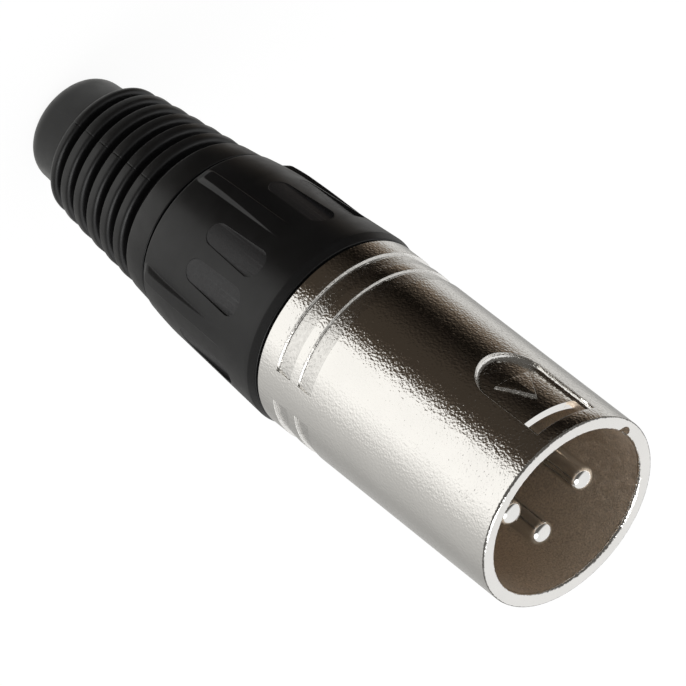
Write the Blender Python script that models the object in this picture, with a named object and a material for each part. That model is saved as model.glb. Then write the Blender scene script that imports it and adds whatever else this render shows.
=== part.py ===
"""Three-pole male cable plug: plated shell, pin insert, clamping chuck, grip nut and ribbed boot.

The plug stands on the flat end of its boot with its mouth upwards. The Z axis is the plug's own
axis, z = 0 is the boot's end, and the latch window faces -Y. Angles round the axis are counted
from the window, towards +X. All lengths are metres.
"""

import math

import bmesh
import bpy
from mathutils import Matrix, Vector

MM = 0.001

# Fits. Pieces that touch keep this gap, and the joint faces between them follow it.
CLEARANCE = 0.3 * MM

# Boot, from its end upwards.
NOSE_LENGTH = 5.05 * MM
NOSE_WALL = 2.25 * MM
NOSE_TAPER = 0.4 * MM
NOSE_EDGE = 1.1 * MM
RIB_COUNT = 6
RIB_PITCH = 2.14 * MM
RIB_WIDTH = 1.1 * MM
RIB_EDGE = 0.3 * MM
RIB_DEPTH = 1.15 * MM
LAST_RIB_RISE = 1.12 * MM
RIB_SWELL_POWER = 0.9
FIRST_RIB_STEP = 0.23 * MM
COLLAR_LENGTH = 2.78 * MM
COLLAR_STEP = 0.17 * MM
COLLAR_FLARE = 0.3 * MM
COLLAR_EDGE = 0.25 * MM
CABLE_RADIUS = 3.25 * MM
CABLE_HOLE_LENGTH = 3.5 * MM
NECK_WALL = 1.2 * MM
LIP_HEIGHT = 1.0 * MM
LIP_THICKNESS = 1.3 * MM

# Grip nut: threaded at the front, with a cone inside that closes the chuck.
NUT_LENGTH = 16.98 * MM
NUT_REAR_WALL = 2.0 * MM
NUT_WALL = 1.15 * MM
NUT_CHAMFER_LENGTH = 0.9 * MM
NUT_CHAMFER_DEPTH = 0.2 * MM
NUT_TAPER = 0.82 * MM
NUT_SHOULDER_FROM_FRONT = 12.7 * MM
NUT_SHOULDER_DROP = 0.53 * MM
NUT_SHOULDER_POWER = 1.4
NUT_CONE_RISE = 1.1 * MM
NUT_CONE_BEHIND_SPIGOT = 0.58 * MM

# Grips on the nut: a raised ridge, then two sunk thumb pads, repeated round it.
GRIP_SETS = 5
RIDGE_ANGLE = math.radians(17.1)
RIDGE_RADIUS = 1.35 * MM
RIDGE_TOP_BELOW_EDGE = 0.33 * MM
RIDGE_CROWN_FROM_FRONT = 11.5 * MM
RIDGE_END_LENGTH = 5.0 * MM
PAD_FROM_FRONT = 4.25 * MM
PAD_LENGTH = 7.1 * MM
PAD_WIDTH = 2.44 * MM
PAD_REAR_WIDTH = 1.9 * MM
PAD_DEPTH = 0.3 * MM

# Shell: the mouth in front, the bore behind it and the threaded spigot at the back.
SHELL_LENGTH = 30.0 * MM
MOUTH_RADIUS = 8.2 * MM
MOUTH_DEPTH = 17.0 * MM
MOUTH_CHAMFER = 0.25 * MM
SHELL_WALL = 1.3 * MM
SHELL_EDGE = 0.35 * MM
SHELL_REAR_STEP = 0.05 * MM
BORE_STEP = 0.8 * MM
FLANGE_HEIGHT = 0.9 * MM
FLANGE_THICKNESS = 1.5 * MM
SPIGOT_WALL = 0.9 * MM
SPIGOT_LENGTH = 8.2 * MM
SPIGOT_CHAMFER = 0.4 * MM
SPIGOT_RELIEF_LENGTH = 0.9 * MM
SPIGOT_RELIEF_DEPTH = 0.15 * MM

# Latch window: a slot through the wall and a shallow arched recess behind it.
WINDOW_HALF_WIDTH = 3.25 * MM
SLOT_FROM_MOUTH = 1.73 * MM
SLOT_LENGTH = 2.07 * MM
RECESS_LENGTH = 7.95 * MM
RECESS_DEPTH = 0.55 * MM
RECESS_DRAFT = 0.45 * MM
ARROW_TIP_FROM_MOUTH = 5.47 * MM
ARROW_LENGTH = 3.18 * MM
ARROW_HALF_WIDTH = 1.95 * MM
ARROW_HEIGHT = 0.22 * MM

# Keyway down the mouth's wall, for the mating socket's rib.
KEYWAY_ANGLE = math.radians(-40.5)
KEYWAY_RADIUS = 0.75 * MM
KEYWAY_LENGTH = 10.0 * MM

# Finger grooves round the shell's rear: steps that ramp out towards the mouth.
GROOVE_COUNT = 2
GROOVE_PITCH = 2.8 * MM
GROOVE_LENGTH = 1.8 * MM
GROOVE_DEPTH = 0.25 * MM
GROOVE_FROM_SHOULDER = 2.1 * MM
GROOVE_BRIDGE_ANGLE = math.radians(19.5)

# Keys that hold the insert and the chuck from turning in the bore.
KEY_WIDTH = 2.4 * MM
KEY_HEIGHT = 0.35 * MM

# Insert: moulded block with a skirt round the solder cups.
INSERT_LENGTH = 6.2 * MM
SKIRT_LENGTH = 6.35 * MM
SKIRT_WALL = 0.8 * MM

# Pins at these angles from the window, a wall's width inside the insert's nose.
PIN_ANGLES = {"pin_1": math.radians(90), "pin_2": math.radians(-90), "pin_3": math.radians(180)}
PIN_RIM = 0.9 * MM
PIN_RADIUS = 1.2 * MM
PIN_TIP_FROM_MOUTH = 2.3 * MM
PIN_DOME = 0.85 * MM
PIN_COLLAR_RADIUS = 1.7 * MM
PIN_COLLAR_LENGTH = 1.2 * MM
PIN_COLLAR_DEPTH = 5.2 * MM
CUP_RADIUS = 1.45 * MM
CUP_BORE_RADIUS = 1.05 * MM
CUP_LENGTH = 5.2 * MM
CUP_BORE_DEPTH = 4.2 * MM
SCOOP_LENGTH = 2.94 * MM

# Shell contact: a bowed spring strip between the insert and the shell.
STRIP_WIDTH = 3.0 * MM
STRIP_THICKNESS = 0.4 * MM
STRIP_BOW = 0.65 * MM
STRIP_TAIL_DROP = 1.2 * MM
STRIP_TAIL_LENGTH = 2.2 * MM
STRIP_HOLE_RADIUS = 0.6 * MM
STRIP_HOLE_PLACE = 1 / 3
STRIP_BOW_STEPS = 8
STRIP_POCKET_WALL = 0.5 * MM

# Chuck: a keyed ring with slit fingers that close on the cable.
CHUCK_RING_LENGTH = 3.2 * MM
CHUCK_WALL = 2.7 * MM
CHUCK_SLIT_COUNT = 6
CHUCK_SLIT_WIDTH = 1.0 * MM
CHUCK_TOOTH_COUNT = 4
CHUCK_TOOTH_PITCH = 1.4 * MM
CHUCK_TOOTH_HEIGHT = 0.4 * MM

# Facets round each piece.
SHELL_FACETS = 64
FLOOR_FACETS = 141
NUT_FACETS = 60
BOOT_FACETS = 40
SMALL_FACETS = 44
PIN_FACETS = 16
RIDGE_FACETS = 28
KEYWAY_FACETS = 16
STRIP_HOLE_FACETS = 12
CUTTER_OVERSHOOT = 1.0 * MM

# Heights, worked out from the lengths above.
COLLAR_BASE_Z = NOSE_LENGTH + RIB_COUNT * RIB_PITCH
COLLAR_TOP_Z = COLLAR_BASE_Z + COLLAR_LENGTH
NUT_REAR_Z = COLLAR_TOP_Z + CLEARANCE
NUT_FRONT_Z = NUT_REAR_Z + NUT_LENGTH
SHOULDER_Z = NUT_FRONT_Z + CLEARANCE
MOUTH_Z = SHOULDER_Z + SHELL_LENGTH
SPIGOT_END_Z = SHOULDER_Z - SPIGOT_LENGTH
FLANGE_FRONT_Z = MOUTH_Z - MOUTH_DEPTH
FLANGE_REAR_Z = FLANGE_FRONT_Z - FLANGE_THICKNESS
INSERT_SEAT_Z = FLANGE_REAR_Z - CLEARANCE
INSERT_REAR_Z = INSERT_SEAT_Z - INSERT_LENGTH
LIP_BASE_Z = NUT_REAR_Z + NUT_REAR_WALL + CLEARANCE
LIP_TOP_Z = LIP_BASE_Z + LIP_THICKNESS
CONE_BASE_Z = LIP_TOP_Z + CLEARANCE
CONE_TOP_Z = SPIGOT_END_Z - NUT_CONE_BEHIND_SPIGOT
CHUCK_REAR_Z = LIP_TOP_Z + 2 * CLEARANCE
CHUCK_HEAD_Z = SPIGOT_END_Z - CLEARANCE
SKIRT_END_Z = INSERT_REAR_Z - SKIRT_LENGTH
CHUCK_FRONT_Z = SKIRT_END_Z - CLEARANCE
CHUCK_RING_Z = CHUCK_FRONT_Z - CHUCK_RING_LENGTH
POCKET_TOP_Z = INSERT_SEAT_Z - STRIP_POCKET_WALL
STRIP_TOP_Z = POCKET_TOP_Z - CLEARANCE
STRIP_END_Z = SKIRT_END_Z + CLEARANCE / 2

# Radii, worked out from the walls and the clearance.
SHELL_RADIUS = MOUTH_RADIUS + SHELL_WALL
SHELL_REAR_RADIUS = SHELL_RADIUS + SHELL_REAR_STEP
BORE_RADIUS = MOUTH_RADIUS - BORE_STEP
FLANGE_RADIUS = BORE_RADIUS - FLANGE_HEIGHT
SPIGOT_RADIUS = BORE_RADIUS + SPIGOT_WALL
NUT_BORE_RADIUS = SPIGOT_RADIUS + CLEARANCE
NUT_RADIUS = NUT_BORE_RADIUS + NUT_WALL
INSERT_RADIUS = BORE_RADIUS - CLEARANCE
INSERT_NOSE_RADIUS = FLANGE_RADIUS - CLEARANCE
PIN_CIRCLE_RADIUS = INSERT_NOSE_RADIUS - PIN_RIM - PIN_RADIUS
KEY_RADIUS = INSERT_RADIUS + KEY_HEIGHT
NUT_REAR_RADIUS = NUT_RADIUS - NUT_TAPER - NUT_SHOULDER_DROP
CONE_RADIUS = NUT_BORE_RADIUS - NUT_CONE_RISE
LIP_RADIUS = CONE_RADIUS - CLEARANCE
NECK_RADIUS = LIP_RADIUS - LIP_HEIGHT
NECK_HOLE_RADIUS = NECK_RADIUS + CLEARANCE
CHUCK_BORE_RADIUS = INSERT_RADIUS - CHUCK_WALL
COLLAR_TOP_RADIUS = NUT_REAR_RADIUS - COLLAR_STEP
COLLAR_RADIUS = COLLAR_TOP_RADIUS - COLLAR_FLARE
FIRST_RIB_RADIUS = COLLAR_RADIUS - FIRST_RIB_STEP
NOSE_RADIUS = CABLE_RADIUS + NOSE_WALL
LAST_RIB_RADIUS = NOSE_RADIUS + LAST_RIB_RISE


def material(name, colour, roughness, metallic):
    """Principled material in one plain colour."""
    made = bpy.data.materials.new(name)
    made.use_nodes = True
    shader = made.node_tree.nodes["Principled BSDF"]
    shader.inputs["Base Color"].default_value = (*colour, 1.0)
    shader.inputs["Roughness"].default_value = roughness
    shader.inputs["Metallic"].default_value = metallic
    return made


def place(bm, name, parent=None):
    """Turn a bmesh into an object with outward faces and smooth round sides."""
    bmesh.ops.recalc_face_normals(bm, faces=bm.faces)
    mesh = bpy.data.meshes.new(name)
    bm.to_mesh(mesh)
    bm.free()
    mesh.shade_smooth()
    mesh.set_sharp_from_angle(angle=math.radians(30))
    made = bpy.data.objects.new(name, mesh)
    bpy.context.collection.objects.link(made)
    made.parent = parent
    return made


def as_cutter(obj):
    """Mark an object as a cutting tool, which isn't part of the plug."""
    obj.hide_render = True
    obj.display_type = "WIRE"
    return obj


def boolean(obj, tool, operation="DIFFERENCE"):
    """Cut a tool out of an object, or add it, with a live modifier."""
    modifier = obj.modifiers.new(tool.name, "BOOLEAN")
    modifier.operation = operation
    modifier.solver = "EXACT"
    modifier.object = tool


def turned(profile, facets, closed=True, angle=2 * math.pi):
    """Spin a profile of (radius, height) points round the axis.

    A closed profile makes a hollow ring. An open one starts and ends on the axis.
    """
    bm = bmesh.new()
    points = [bm.verts.new((radius, 0, height)) for radius, height in profile]
    ends = points[1:] + points[:1] if closed else points[1:]
    edges = [bm.edges.new(pair) for pair in zip(points, ends)]
    bmesh.ops.spin(bm, geom=points + edges, cent=(0, 0, 0), axis=(0, 0, 1),
                   angle=angle, steps=facets, use_merge=True)
    bmesh.ops.remove_doubles(bm, verts=bm.verts, dist=1e-7)
    return bm


def prism(outline, thickness_direction):
    """Extrude a flat outline of 3-D points along a vector."""
    bm = bmesh.new()
    face = bm.faces.new([bm.verts.new(point) for point in outline])
    extruded = bmesh.ops.extrude_face_region(bm, geom=[face])["geom"]
    moved = [item for item in extruded if isinstance(item, bmesh.types.BMVert)]
    bmesh.ops.translate(bm, verts=moved, vec=thickness_direction)
    return bm


def block(low, high):
    """Box between two corners."""
    bm = bmesh.new()
    bmesh.ops.create_cube(bm, size=1)
    low, high = Vector(low), Vector(high)
    bmesh.ops.scale(bm, verts=bm.verts, vec=high - low)
    bmesh.ops.translate(bm, verts=bm.verts, vec=(low + high) / 2)
    return bm


def gather(pieces):
    """Put several bmeshes that don't touch into one."""
    joined = bmesh.new()
    for piece in pieces:
        mesh = bpy.data.meshes.new("gathered")
        piece.to_mesh(mesh)
        piece.free()
        joined.from_mesh(mesh)
        bpy.data.meshes.remove(mesh)
    return joined


def round_the_axis(make, angles):
    """Copies of a shape that is made facing -Y, turned to each angle."""
    copies = []
    for angle in angles:
        piece = make()
        bmesh.ops.rotate(piece, verts=piece.verts, matrix=Matrix.Rotation(angle, 3, "Z"))
        copies.append(piece)
    return gather(copies)


def arc(centre, radius, start, end, steps):
    """Points of a flat arc, as pairs, both ends included."""
    turns = [start + (end - start) * step / steps for step in range(steps + 1)]
    return [(centre[0] + radius * math.cos(turn), centre[1] + radius * math.sin(turn))
            for turn in turns]


def nut_radius(height):
    """The grip nut's outer radius: a straight taper, then a rounded rear shoulder."""
    edge_z = NUT_FRONT_Z - NUT_CHAMFER_LENGTH
    shoulder_z = NUT_FRONT_Z - NUT_SHOULDER_FROM_FRONT
    if height >= shoulder_z:
        return NUT_RADIUS - NUT_TAPER * (edge_z - height) / (edge_z - shoulder_z)
    share = (shoulder_z - height) / (shoulder_z - NUT_REAR_Z)
    return NUT_RADIUS - NUT_TAPER - NUT_SHOULDER_DROP * share ** NUT_SHOULDER_POWER


def cone_radius(height):
    """The cone inside the nut that closes the chuck's fingers."""
    share = (height - CONE_BASE_Z) / (CONE_TOP_Z - CONE_BASE_Z)
    return CONE_RADIUS + NUT_CONE_RISE * share


def groove_cutter():
    """One half of the finger grooves: stepped at the rear, ramping out to the front."""
    sweep = math.pi - GROOVE_BRIDGE_ANGLE
    pieces = []
    for index in range(GROOVE_COUNT):
        step_z = SHOULDER_Z + GROOVE_FROM_SHOULDER + index * GROOVE_PITCH
        outside = SHELL_REAR_RADIUS + CUTTER_OVERSHOOT
        section = [(outside, step_z), (SHELL_RADIUS - GROOVE_DEPTH, step_z),
                   (SHELL_RADIUS, step_z + GROOVE_LENGTH), (outside, step_z + GROOVE_LENGTH)]
        bm = bmesh.new()
        corners = [bm.verts.new((radius, 0, height)) for radius, height in section]
        face = bm.faces.new(corners)
        bmesh.ops.spin(bm, geom=[face, *face.edges, *corners], cent=(0, 0, 0), axis=(0, 0, 1),
                       angle=sweep, steps=SHELL_FACETS // 2)
        bmesh.ops.rotate(bm, verts=bm.verts,
                         matrix=Matrix.Rotation(GROOVE_BRIDGE_ANGLE / 2, 3, "Z"))
        pieces.append(bm)
    return gather(pieces)


def latch_recess():
    """Cutter for the recess: drafted sides, and a floor that keeps to a cylinder."""
    outside = SHELL_RADIUS + CUTTER_OVERSHOOT
    floor_radius = SHELL_RADIUS - RECESS_DEPTH
    depth = outside - math.sqrt(floor_radius ** 2 - WINDOW_HALF_WIDTH ** 2)
    bm = prism([(x, -outside, z) for x, z in window_outline()], (0, depth, 0))
    inner = [vert for vert in bm.verts if vert.co.y > -outside + depth / 2]
    centre = Vector((0, 0, MOUTH_Z - SLOT_FROM_MOUTH - SLOT_LENGTH / 2))
    share = 1 - RECESS_DRAFT / WINDOW_HALF_WIDTH
    bmesh.ops.scale(bm, verts=inner, vec=(share, 1, 1), space=Matrix.Translation(-centre))
    length = SLOT_LENGTH / 2 + RECESS_LENGTH
    bmesh.ops.scale(bm, verts=inner, vec=(1, 1, 1 - RECESS_DRAFT / length),
                    space=Matrix.Translation(-centre))
    tool = as_cutter(place(bm, "latch_recess_cutter"))
    core = turned([(0, 0), (floor_radius, 0), (floor_radius, MOUTH_Z), (0, MOUTH_Z)],
                  FLOOR_FACETS, closed=False)
    boolean(tool, as_cutter(place(core, "latch_recess_floor")))
    return tool


def raised_arrow(floor_radius):
    """Body of the arrow that stands up from the recess's floor, curved like the floor."""
    outside = SHELL_RADIUS + CUTTER_OVERSHOOT
    bm = prism([(x, -outside, z) for x, z in arrow_outline()], (0, 3 * CUTTER_OVERSHOOT, 0))
    arrow = as_cutter(place(bm, "raised_arrow"))
    top = floor_radius + ARROW_HEIGHT
    core = turned([(0, 0), (top, 0), (top, MOUTH_Z), (0, MOUTH_Z)], FLOOR_FACETS, closed=False)
    boolean(arrow, as_cutter(place(core, "raised_arrow_top")), "INTERSECT")
    return arrow


def window_outline():
    """Arch of the latch recess, open into the slot at its top."""
    top = MOUTH_Z - SLOT_FROM_MOUTH - SLOT_LENGTH / 2
    arch_z = MOUTH_Z - SLOT_FROM_MOUTH - SLOT_LENGTH - RECESS_LENGTH + WINDOW_HALF_WIDTH
    arch = arc((0, arch_z), WINDOW_HALF_WIDTH, math.pi, 2 * math.pi, 16)
    return [(-WINDOW_HALF_WIDTH, top), *arch, (WINDOW_HALF_WIDTH, top)]


def arrow_outline():
    """Triangle that points to the mouth."""
    tip = MOUTH_Z - ARROW_TIP_FROM_MOUTH
    return [(0, tip), (-ARROW_HALF_WIDTH, tip - ARROW_LENGTH), (ARROW_HALF_WIDTH, tip - ARROW_LENGTH)]


def shell():
    """Die-cast shell: mouth, inner flange, bore and threaded spigot."""
    rim = SHELL_EDGE * (1 - math.sqrt(0.5))
    profile = [
        (MOUTH_RADIUS + MOUTH_CHAMFER, MOUTH_Z),
        (SHELL_RADIUS - SHELL_EDGE, MOUTH_Z),
        (SHELL_RADIUS - rim, MOUTH_Z - rim),
        (SHELL_RADIUS, MOUTH_Z - SHELL_EDGE),
        (SHELL_RADIUS, SHOULDER_Z + GROOVE_FROM_SHOULDER + GROOVE_LENGTH),
        (SHELL_REAR_RADIUS, SHOULDER_Z + GROOVE_FROM_SHOULDER),
        (SHELL_REAR_RADIUS, SHOULDER_Z),
        (SPIGOT_RADIUS - SPIGOT_RELIEF_DEPTH, SHOULDER_Z),
        (SPIGOT_RADIUS - SPIGOT_RELIEF_DEPTH, SHOULDER_Z - SPIGOT_RELIEF_LENGTH),
        (SPIGOT_RADIUS, SHOULDER_Z - SPIGOT_RELIEF_LENGTH - SPIGOT_RELIEF_DEPTH),
        (SPIGOT_RADIUS, SPIGOT_END_Z + SPIGOT_CHAMFER),
        (SPIGOT_RADIUS - SPIGOT_CHAMFER, SPIGOT_END_Z),
        (BORE_RADIUS, SPIGOT_END_Z),
        (BORE_RADIUS, FLANGE_REAR_Z),
        (FLANGE_RADIUS, FLANGE_REAR_Z),
        (FLANGE_RADIUS, FLANGE_FRONT_Z),
        (MOUTH_RADIUS, FLANGE_FRONT_Z),
        (MOUTH_RADIUS, MOUTH_Z - MOUTH_CHAMFER),
    ]
    made = place(turned(profile, SHELL_FACETS), "shell")

    slot_top = MOUTH_Z - SLOT_FROM_MOUTH
    slot = block((-WINDOW_HALF_WIDTH, -SHELL_RADIUS - CUTTER_OVERSHOOT, slot_top - SLOT_LENGTH),
                 (WINDOW_HALF_WIDTH, -MOUTH_RADIUS / 2, slot_top))
    boolean(made, as_cutter(place(slot, "latch_slot_cutter")))
    recess = latch_recess()
    boolean(recess, raised_arrow(SHELL_RADIUS - RECESS_DEPTH))
    boolean(made, recess)

    grooves = round_the_axis(groove_cutter, [math.pi, 0])
    boolean(made, as_cutter(place(grooves, "finger_groove_cutter")))

    keyway = bmesh.new()
    bmesh.ops.create_cone(keyway, cap_ends=True, segments=KEYWAY_FACETS, radius1=KEYWAY_RADIUS,
                          radius2=KEYWAY_RADIUS, depth=KEYWAY_LENGTH + CUTTER_OVERSHOOT)
    keyway_z = MOUTH_Z + (CUTTER_OVERSHOOT - KEYWAY_LENGTH) / 2
    bmesh.ops.translate(keyway, verts=keyway.verts, vec=(0, -MOUTH_RADIUS, keyway_z))
    bmesh.ops.rotate(keyway, verts=keyway.verts, matrix=Matrix.Rotation(KEYWAY_ANGLE, 3, "Z"))
    boolean(made, as_cutter(place(keyway, "keyway_cutter")))

    half_slot = KEY_WIDTH / 2 + CLEARANCE
    key_slots = block((-KEY_RADIUS - CLEARANCE, -half_slot, SPIGOT_END_Z - CUTTER_OVERSHOOT),
                      (KEY_RADIUS + CLEARANCE, half_slot, FLANGE_REAR_Z))
    boolean(made, as_cutter(place(key_slots, "key_slot_cutter")))
    made.data.materials.append(material("nickel_plate", (0.72, 0.70, 0.66), 0.28, 1.0))
    return made


def strip_pocket():
    """Pocket in the insert's side for the spring strip, open to the rear."""
    half = STRIP_WIDTH / 2 + CLEARANCE
    depth = STRIP_THICKNESS + STRIP_BOW + 1.5 * CLEARANCE
    return block((-half, -INSERT_RADIUS - CUTTER_OVERSHOOT, SKIRT_END_Z - CUTTER_OVERSHOOT),
                 (half, -INSERT_RADIUS + depth, POCKET_TOP_Z))


def insert(parent):
    """Moulded insulator with stepped pin holes, a skirt, side keys and the strip's pocket."""
    profile = [
        (0, FLANGE_FRONT_Z),
        (INSERT_NOSE_RADIUS, FLANGE_FRONT_Z),
        (INSERT_NOSE_RADIUS, INSERT_SEAT_Z),
        (INSERT_RADIUS, INSERT_SEAT_Z),
        (INSERT_RADIUS, SKIRT_END_Z),
        (INSERT_RADIUS - SKIRT_WALL, SKIRT_END_Z),
        (INSERT_RADIUS - SKIRT_WALL, INSERT_REAR_Z),
        (0, INSERT_REAR_Z),
    ]
    made = place(turned(profile, SMALL_FACETS, closed=False), "insert", parent)

    overlap = SKIRT_WALL / 2
    keys = [block((side * (INSERT_RADIUS - overlap), -KEY_WIDTH / 2, SKIRT_END_Z),
                  (side * KEY_RADIUS, KEY_WIDTH / 2, INSERT_SEAT_Z)) for side in (-1, 1)]
    boolean(made, as_cutter(place(gather(keys), "insert_keys")), "UNION")
    boolean(made, as_cutter(place(strip_pocket(), "strip_pocket_cutter")))

    step_z = FLANGE_FRONT_Z - PIN_COLLAR_DEPTH + CLEARANCE
    hole = [
        (0, FLANGE_FRONT_Z + CUTTER_OVERSHOOT),
        (PIN_RADIUS + CLEARANCE, FLANGE_FRONT_Z + CUTTER_OVERSHOOT),
        (PIN_RADIUS + CLEARANCE, step_z),
        (PIN_COLLAR_RADIUS + CLEARANCE, step_z),
        (PIN_COLLAR_RADIUS + CLEARANCE, INSERT_REAR_Z - CUTTER_OVERSHOOT),
        (0, INSERT_REAR_Z - CUTTER_OVERSHOOT),
    ]

    for name, angle in PIN_ANGLES.items():
        cutter = as_cutter(place(turned(hole, PIN_FACETS, closed=False), name + "_hole", parent))
        cutter.location = on_pin_circle(angle)
        boolean(made, cutter)
    made.data.materials.append(material("insert_plastic", (0.02, 0.02, 0.022), 0.5, 0.0))
    return made


def on_pin_circle(angle):
    """Place of a pin's own axis."""
    return Matrix.Rotation(angle, 3, "Z") @ Vector((0, -PIN_CIRCLE_RADIUS, 0))


def pin(name, angle, parent):
    """Turned contact: domed tip, shaft, seating collar and a scooped solder cup."""
    tip_z = MOUTH_Z - PIN_TIP_FROM_MOUTH
    collar_top = FLANGE_FRONT_Z - PIN_COLLAR_DEPTH
    cup_top = INSERT_REAR_Z
    cup_end = cup_top - CUP_LENGTH
    dome = [(radius, tip_z - PIN_DOME + height * PIN_DOME / PIN_RADIUS)
            for radius, height in arc((0, 0), PIN_RADIUS, math.pi / 2, 0, 4)]
    profile = [
        (0, tip_z),
        *dome[1:],
        (PIN_RADIUS, collar_top),
        (PIN_COLLAR_RADIUS, collar_top),
        (PIN_COLLAR_RADIUS, collar_top - PIN_COLLAR_LENGTH),
        (PIN_RADIUS, collar_top - PIN_COLLAR_LENGTH),
        (PIN_RADIUS, cup_top),
        (CUP_RADIUS, cup_top),
        (CUP_RADIUS, cup_end),
        (CUP_BORE_RADIUS, cup_end),
        (CUP_BORE_RADIUS, cup_end + CUP_BORE_DEPTH),
        (0, cup_end + CUP_BORE_DEPTH),
    ]
    made = place(turned(profile, PIN_FACETS, closed=False), name, parent)
    made.location = on_pin_circle(angle)

    scoop = block((0, -CUP_RADIUS - CUTTER_OVERSHOOT, cup_end - CUTTER_OVERSHOOT),
                  (CUP_RADIUS + CUTTER_OVERSHOOT, CUP_RADIUS + CUTTER_OVERSHOOT,
                   cup_end + SCOOP_LENGTH))
    cutter = as_cutter(place(scoop, name + "_scoop_cutter", parent))
    cutter.location = made.location
    cutter.rotation_euler.z = angle + math.pi / 2
    boolean(made, cutter)
    made.data.materials.append(material(name + "_plate", (0.83, 0.82, 0.79), 0.15, 1.0))
    return made


def ground_contact(parent):
    """Spring strip bowed against the shell, with a solder tail bent inwards."""
    base_y = -INSERT_RADIUS + STRIP_THICKNESS + STRIP_BOW + CLEARANCE / 2
    length = STRIP_TOP_Z - STRIP_END_Z - STRIP_TAIL_LENGTH
    centre_line = []
    for step in range(STRIP_BOW_STEPS + 1):
        share = step / STRIP_BOW_STEPS
        bow = STRIP_BOW * math.sin(math.pi * share) ** 2
        height = STRIP_TOP_Z - length * share
        centre_line.append(Vector((0, base_y - STRIP_THICKNESS / 2 - bow, height)))
    tail = centre_line[-1] + Vector((0, STRIP_TAIL_DROP, -STRIP_TAIL_LENGTH))
    centre_line.append(tail)
    outer, inner = [], []
    for index, point in enumerate(centre_line):
        before = centre_line[max(index - 1, 0)]
        after = centre_line[min(index + 1, len(centre_line) - 1)]
        along = (after - before).normalized()
        across = along.cross(Vector((1, 0, 0))) * STRIP_THICKNESS / 2
        outer.append(point + across)
        inner.append(point - across)
    outline = [(-STRIP_WIDTH / 2, p.y, p.z) for p in outer + inner[::-1]]
    made = place(prism(outline, (STRIP_WIDTH, 0, 0)), "ground_contact", parent)

    hole = bmesh.new()
    bmesh.ops.create_cone(hole, cap_ends=True, segments=STRIP_HOLE_FACETS, radius1=STRIP_HOLE_RADIUS,
                          radius2=STRIP_HOLE_RADIUS, depth=STRIP_TAIL_LENGTH + STRIP_TAIL_DROP)
    cutter = as_cutter(place(hole, "strip_hole_cutter", parent))
    cutter.location = tail.lerp(centre_line[-2], STRIP_HOLE_PLACE)
    cutter.rotation_euler.x = math.pi / 2
    boolean(made, cutter)
    made.data.materials.append(material("spring_strip", (0.75, 0.68, 0.5), 0.3, 1.0))
    return made


def chuck(parent):
    """Clamping chuck: keyed ring, tapered head, toothed bore and slit fingers."""
    teeth = []
    for index in range(CHUCK_TOOTH_COUNT):
        root_z = CHUCK_REAR_Z + CHUCK_TOOTH_HEIGHT + index * CHUCK_TOOTH_PITCH
        teeth.append((CHUCK_BORE_RADIUS - CHUCK_TOOTH_HEIGHT, root_z))
        teeth.append((CHUCK_BORE_RADIUS, root_z + CHUCK_TOOTH_PITCH / 2))
    rear_radius = cone_radius(CHUCK_REAR_Z) - CLEARANCE
    head_radius = cone_radius(CHUCK_HEAD_Z) - CLEARANCE
    profile = [
        (CHUCK_BORE_RADIUS, CHUCK_FRONT_Z),
        (INSERT_RADIUS, CHUCK_FRONT_Z),
        (INSERT_RADIUS, CHUCK_HEAD_Z),
        (head_radius, CHUCK_HEAD_Z),
        (rear_radius, CHUCK_REAR_Z),
        (CHUCK_BORE_RADIUS, CHUCK_REAR_Z),
        *teeth,
    ]
    made = place(turned(profile, SMALL_FACETS), "chuck", parent)

    overlap = KEY_HEIGHT
    keys = [block((side * (INSERT_RADIUS - overlap), -KEY_WIDTH / 2, CHUCK_RING_Z),
                  (side * KEY_RADIUS, KEY_WIDTH / 2, CHUCK_FRONT_Z)) for side in (-1, 1)]
    boolean(made, as_cutter(place(gather(keys), "chuck_keys")), "UNION")

    def slit():
        return block((-CHUCK_SLIT_WIDTH / 2, -NUT_RADIUS, CHUCK_REAR_Z - CUTTER_OVERSHOOT),
                     (CHUCK_SLIT_WIDTH / 2, -CHUCK_BORE_RADIUS / 2, CHUCK_RING_Z))

    angles = [2 * math.pi * index / CHUCK_SLIT_COUNT for index in range(CHUCK_SLIT_COUNT)]
    boolean(made, as_cutter(place(round_the_axis(slit, angles), "slit_cutter")))
    made.data.materials.append(material("chuck_plastic", (0.75, 0.75, 0.72), 0.45, 0.0))
    return made


def ridge():
    """Round bar with a long domed rear end, laid level so that the taper leaves it proud."""
    top = NUT_RADIUS - RIDGE_TOP_BELOW_EDGE
    crown_z = NUT_FRONT_Z - RIDGE_CROWN_FROM_FRONT
    dome = [(radius, -height * RIDGE_END_LENGTH / RIDGE_RADIUS)
            for radius, height in arc((0, 0), RIDGE_RADIUS, math.pi / 2, 0, 7)]
    front = crown_z + RIDGE_CROWN_FROM_FRONT / 2 + CUTTER_OVERSHOOT
    profile = [(0, -RIDGE_END_LENGTH), *dome[1:], (RIDGE_RADIUS, front - crown_z), (0, front - crown_z)]
    bm = turned(profile, RIDGE_FACETS, closed=False)
    bmesh.ops.translate(bm, verts=bm.verts, vec=(0, RIDGE_RADIUS - top, crown_z))
    return bm


def pad():
    """Cutter for a thumb pad: round in front, with a floor that runs out at the rear."""
    front_z = NUT_FRONT_Z - PAD_FROM_FRONT
    rear_z = front_z - PAD_LENGTH
    outline = arc((0, front_z - PAD_WIDTH / 2), PAD_WIDTH / 2, 0, math.pi, 10)
    outline += [(-PAD_REAR_WIDTH / 2, rear_z), (PAD_REAR_WIDTH / 2, rear_z)]
    floor = nut_radius(front_z) - PAD_DEPTH
    slope = (floor - nut_radius(rear_z)) / PAD_LENGTH
    points = [(x, slope * (front_z - z) - floor, z) for x, z in outline]
    return prism(points, (0, -CUTTER_OVERSHOOT, 0))


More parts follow.
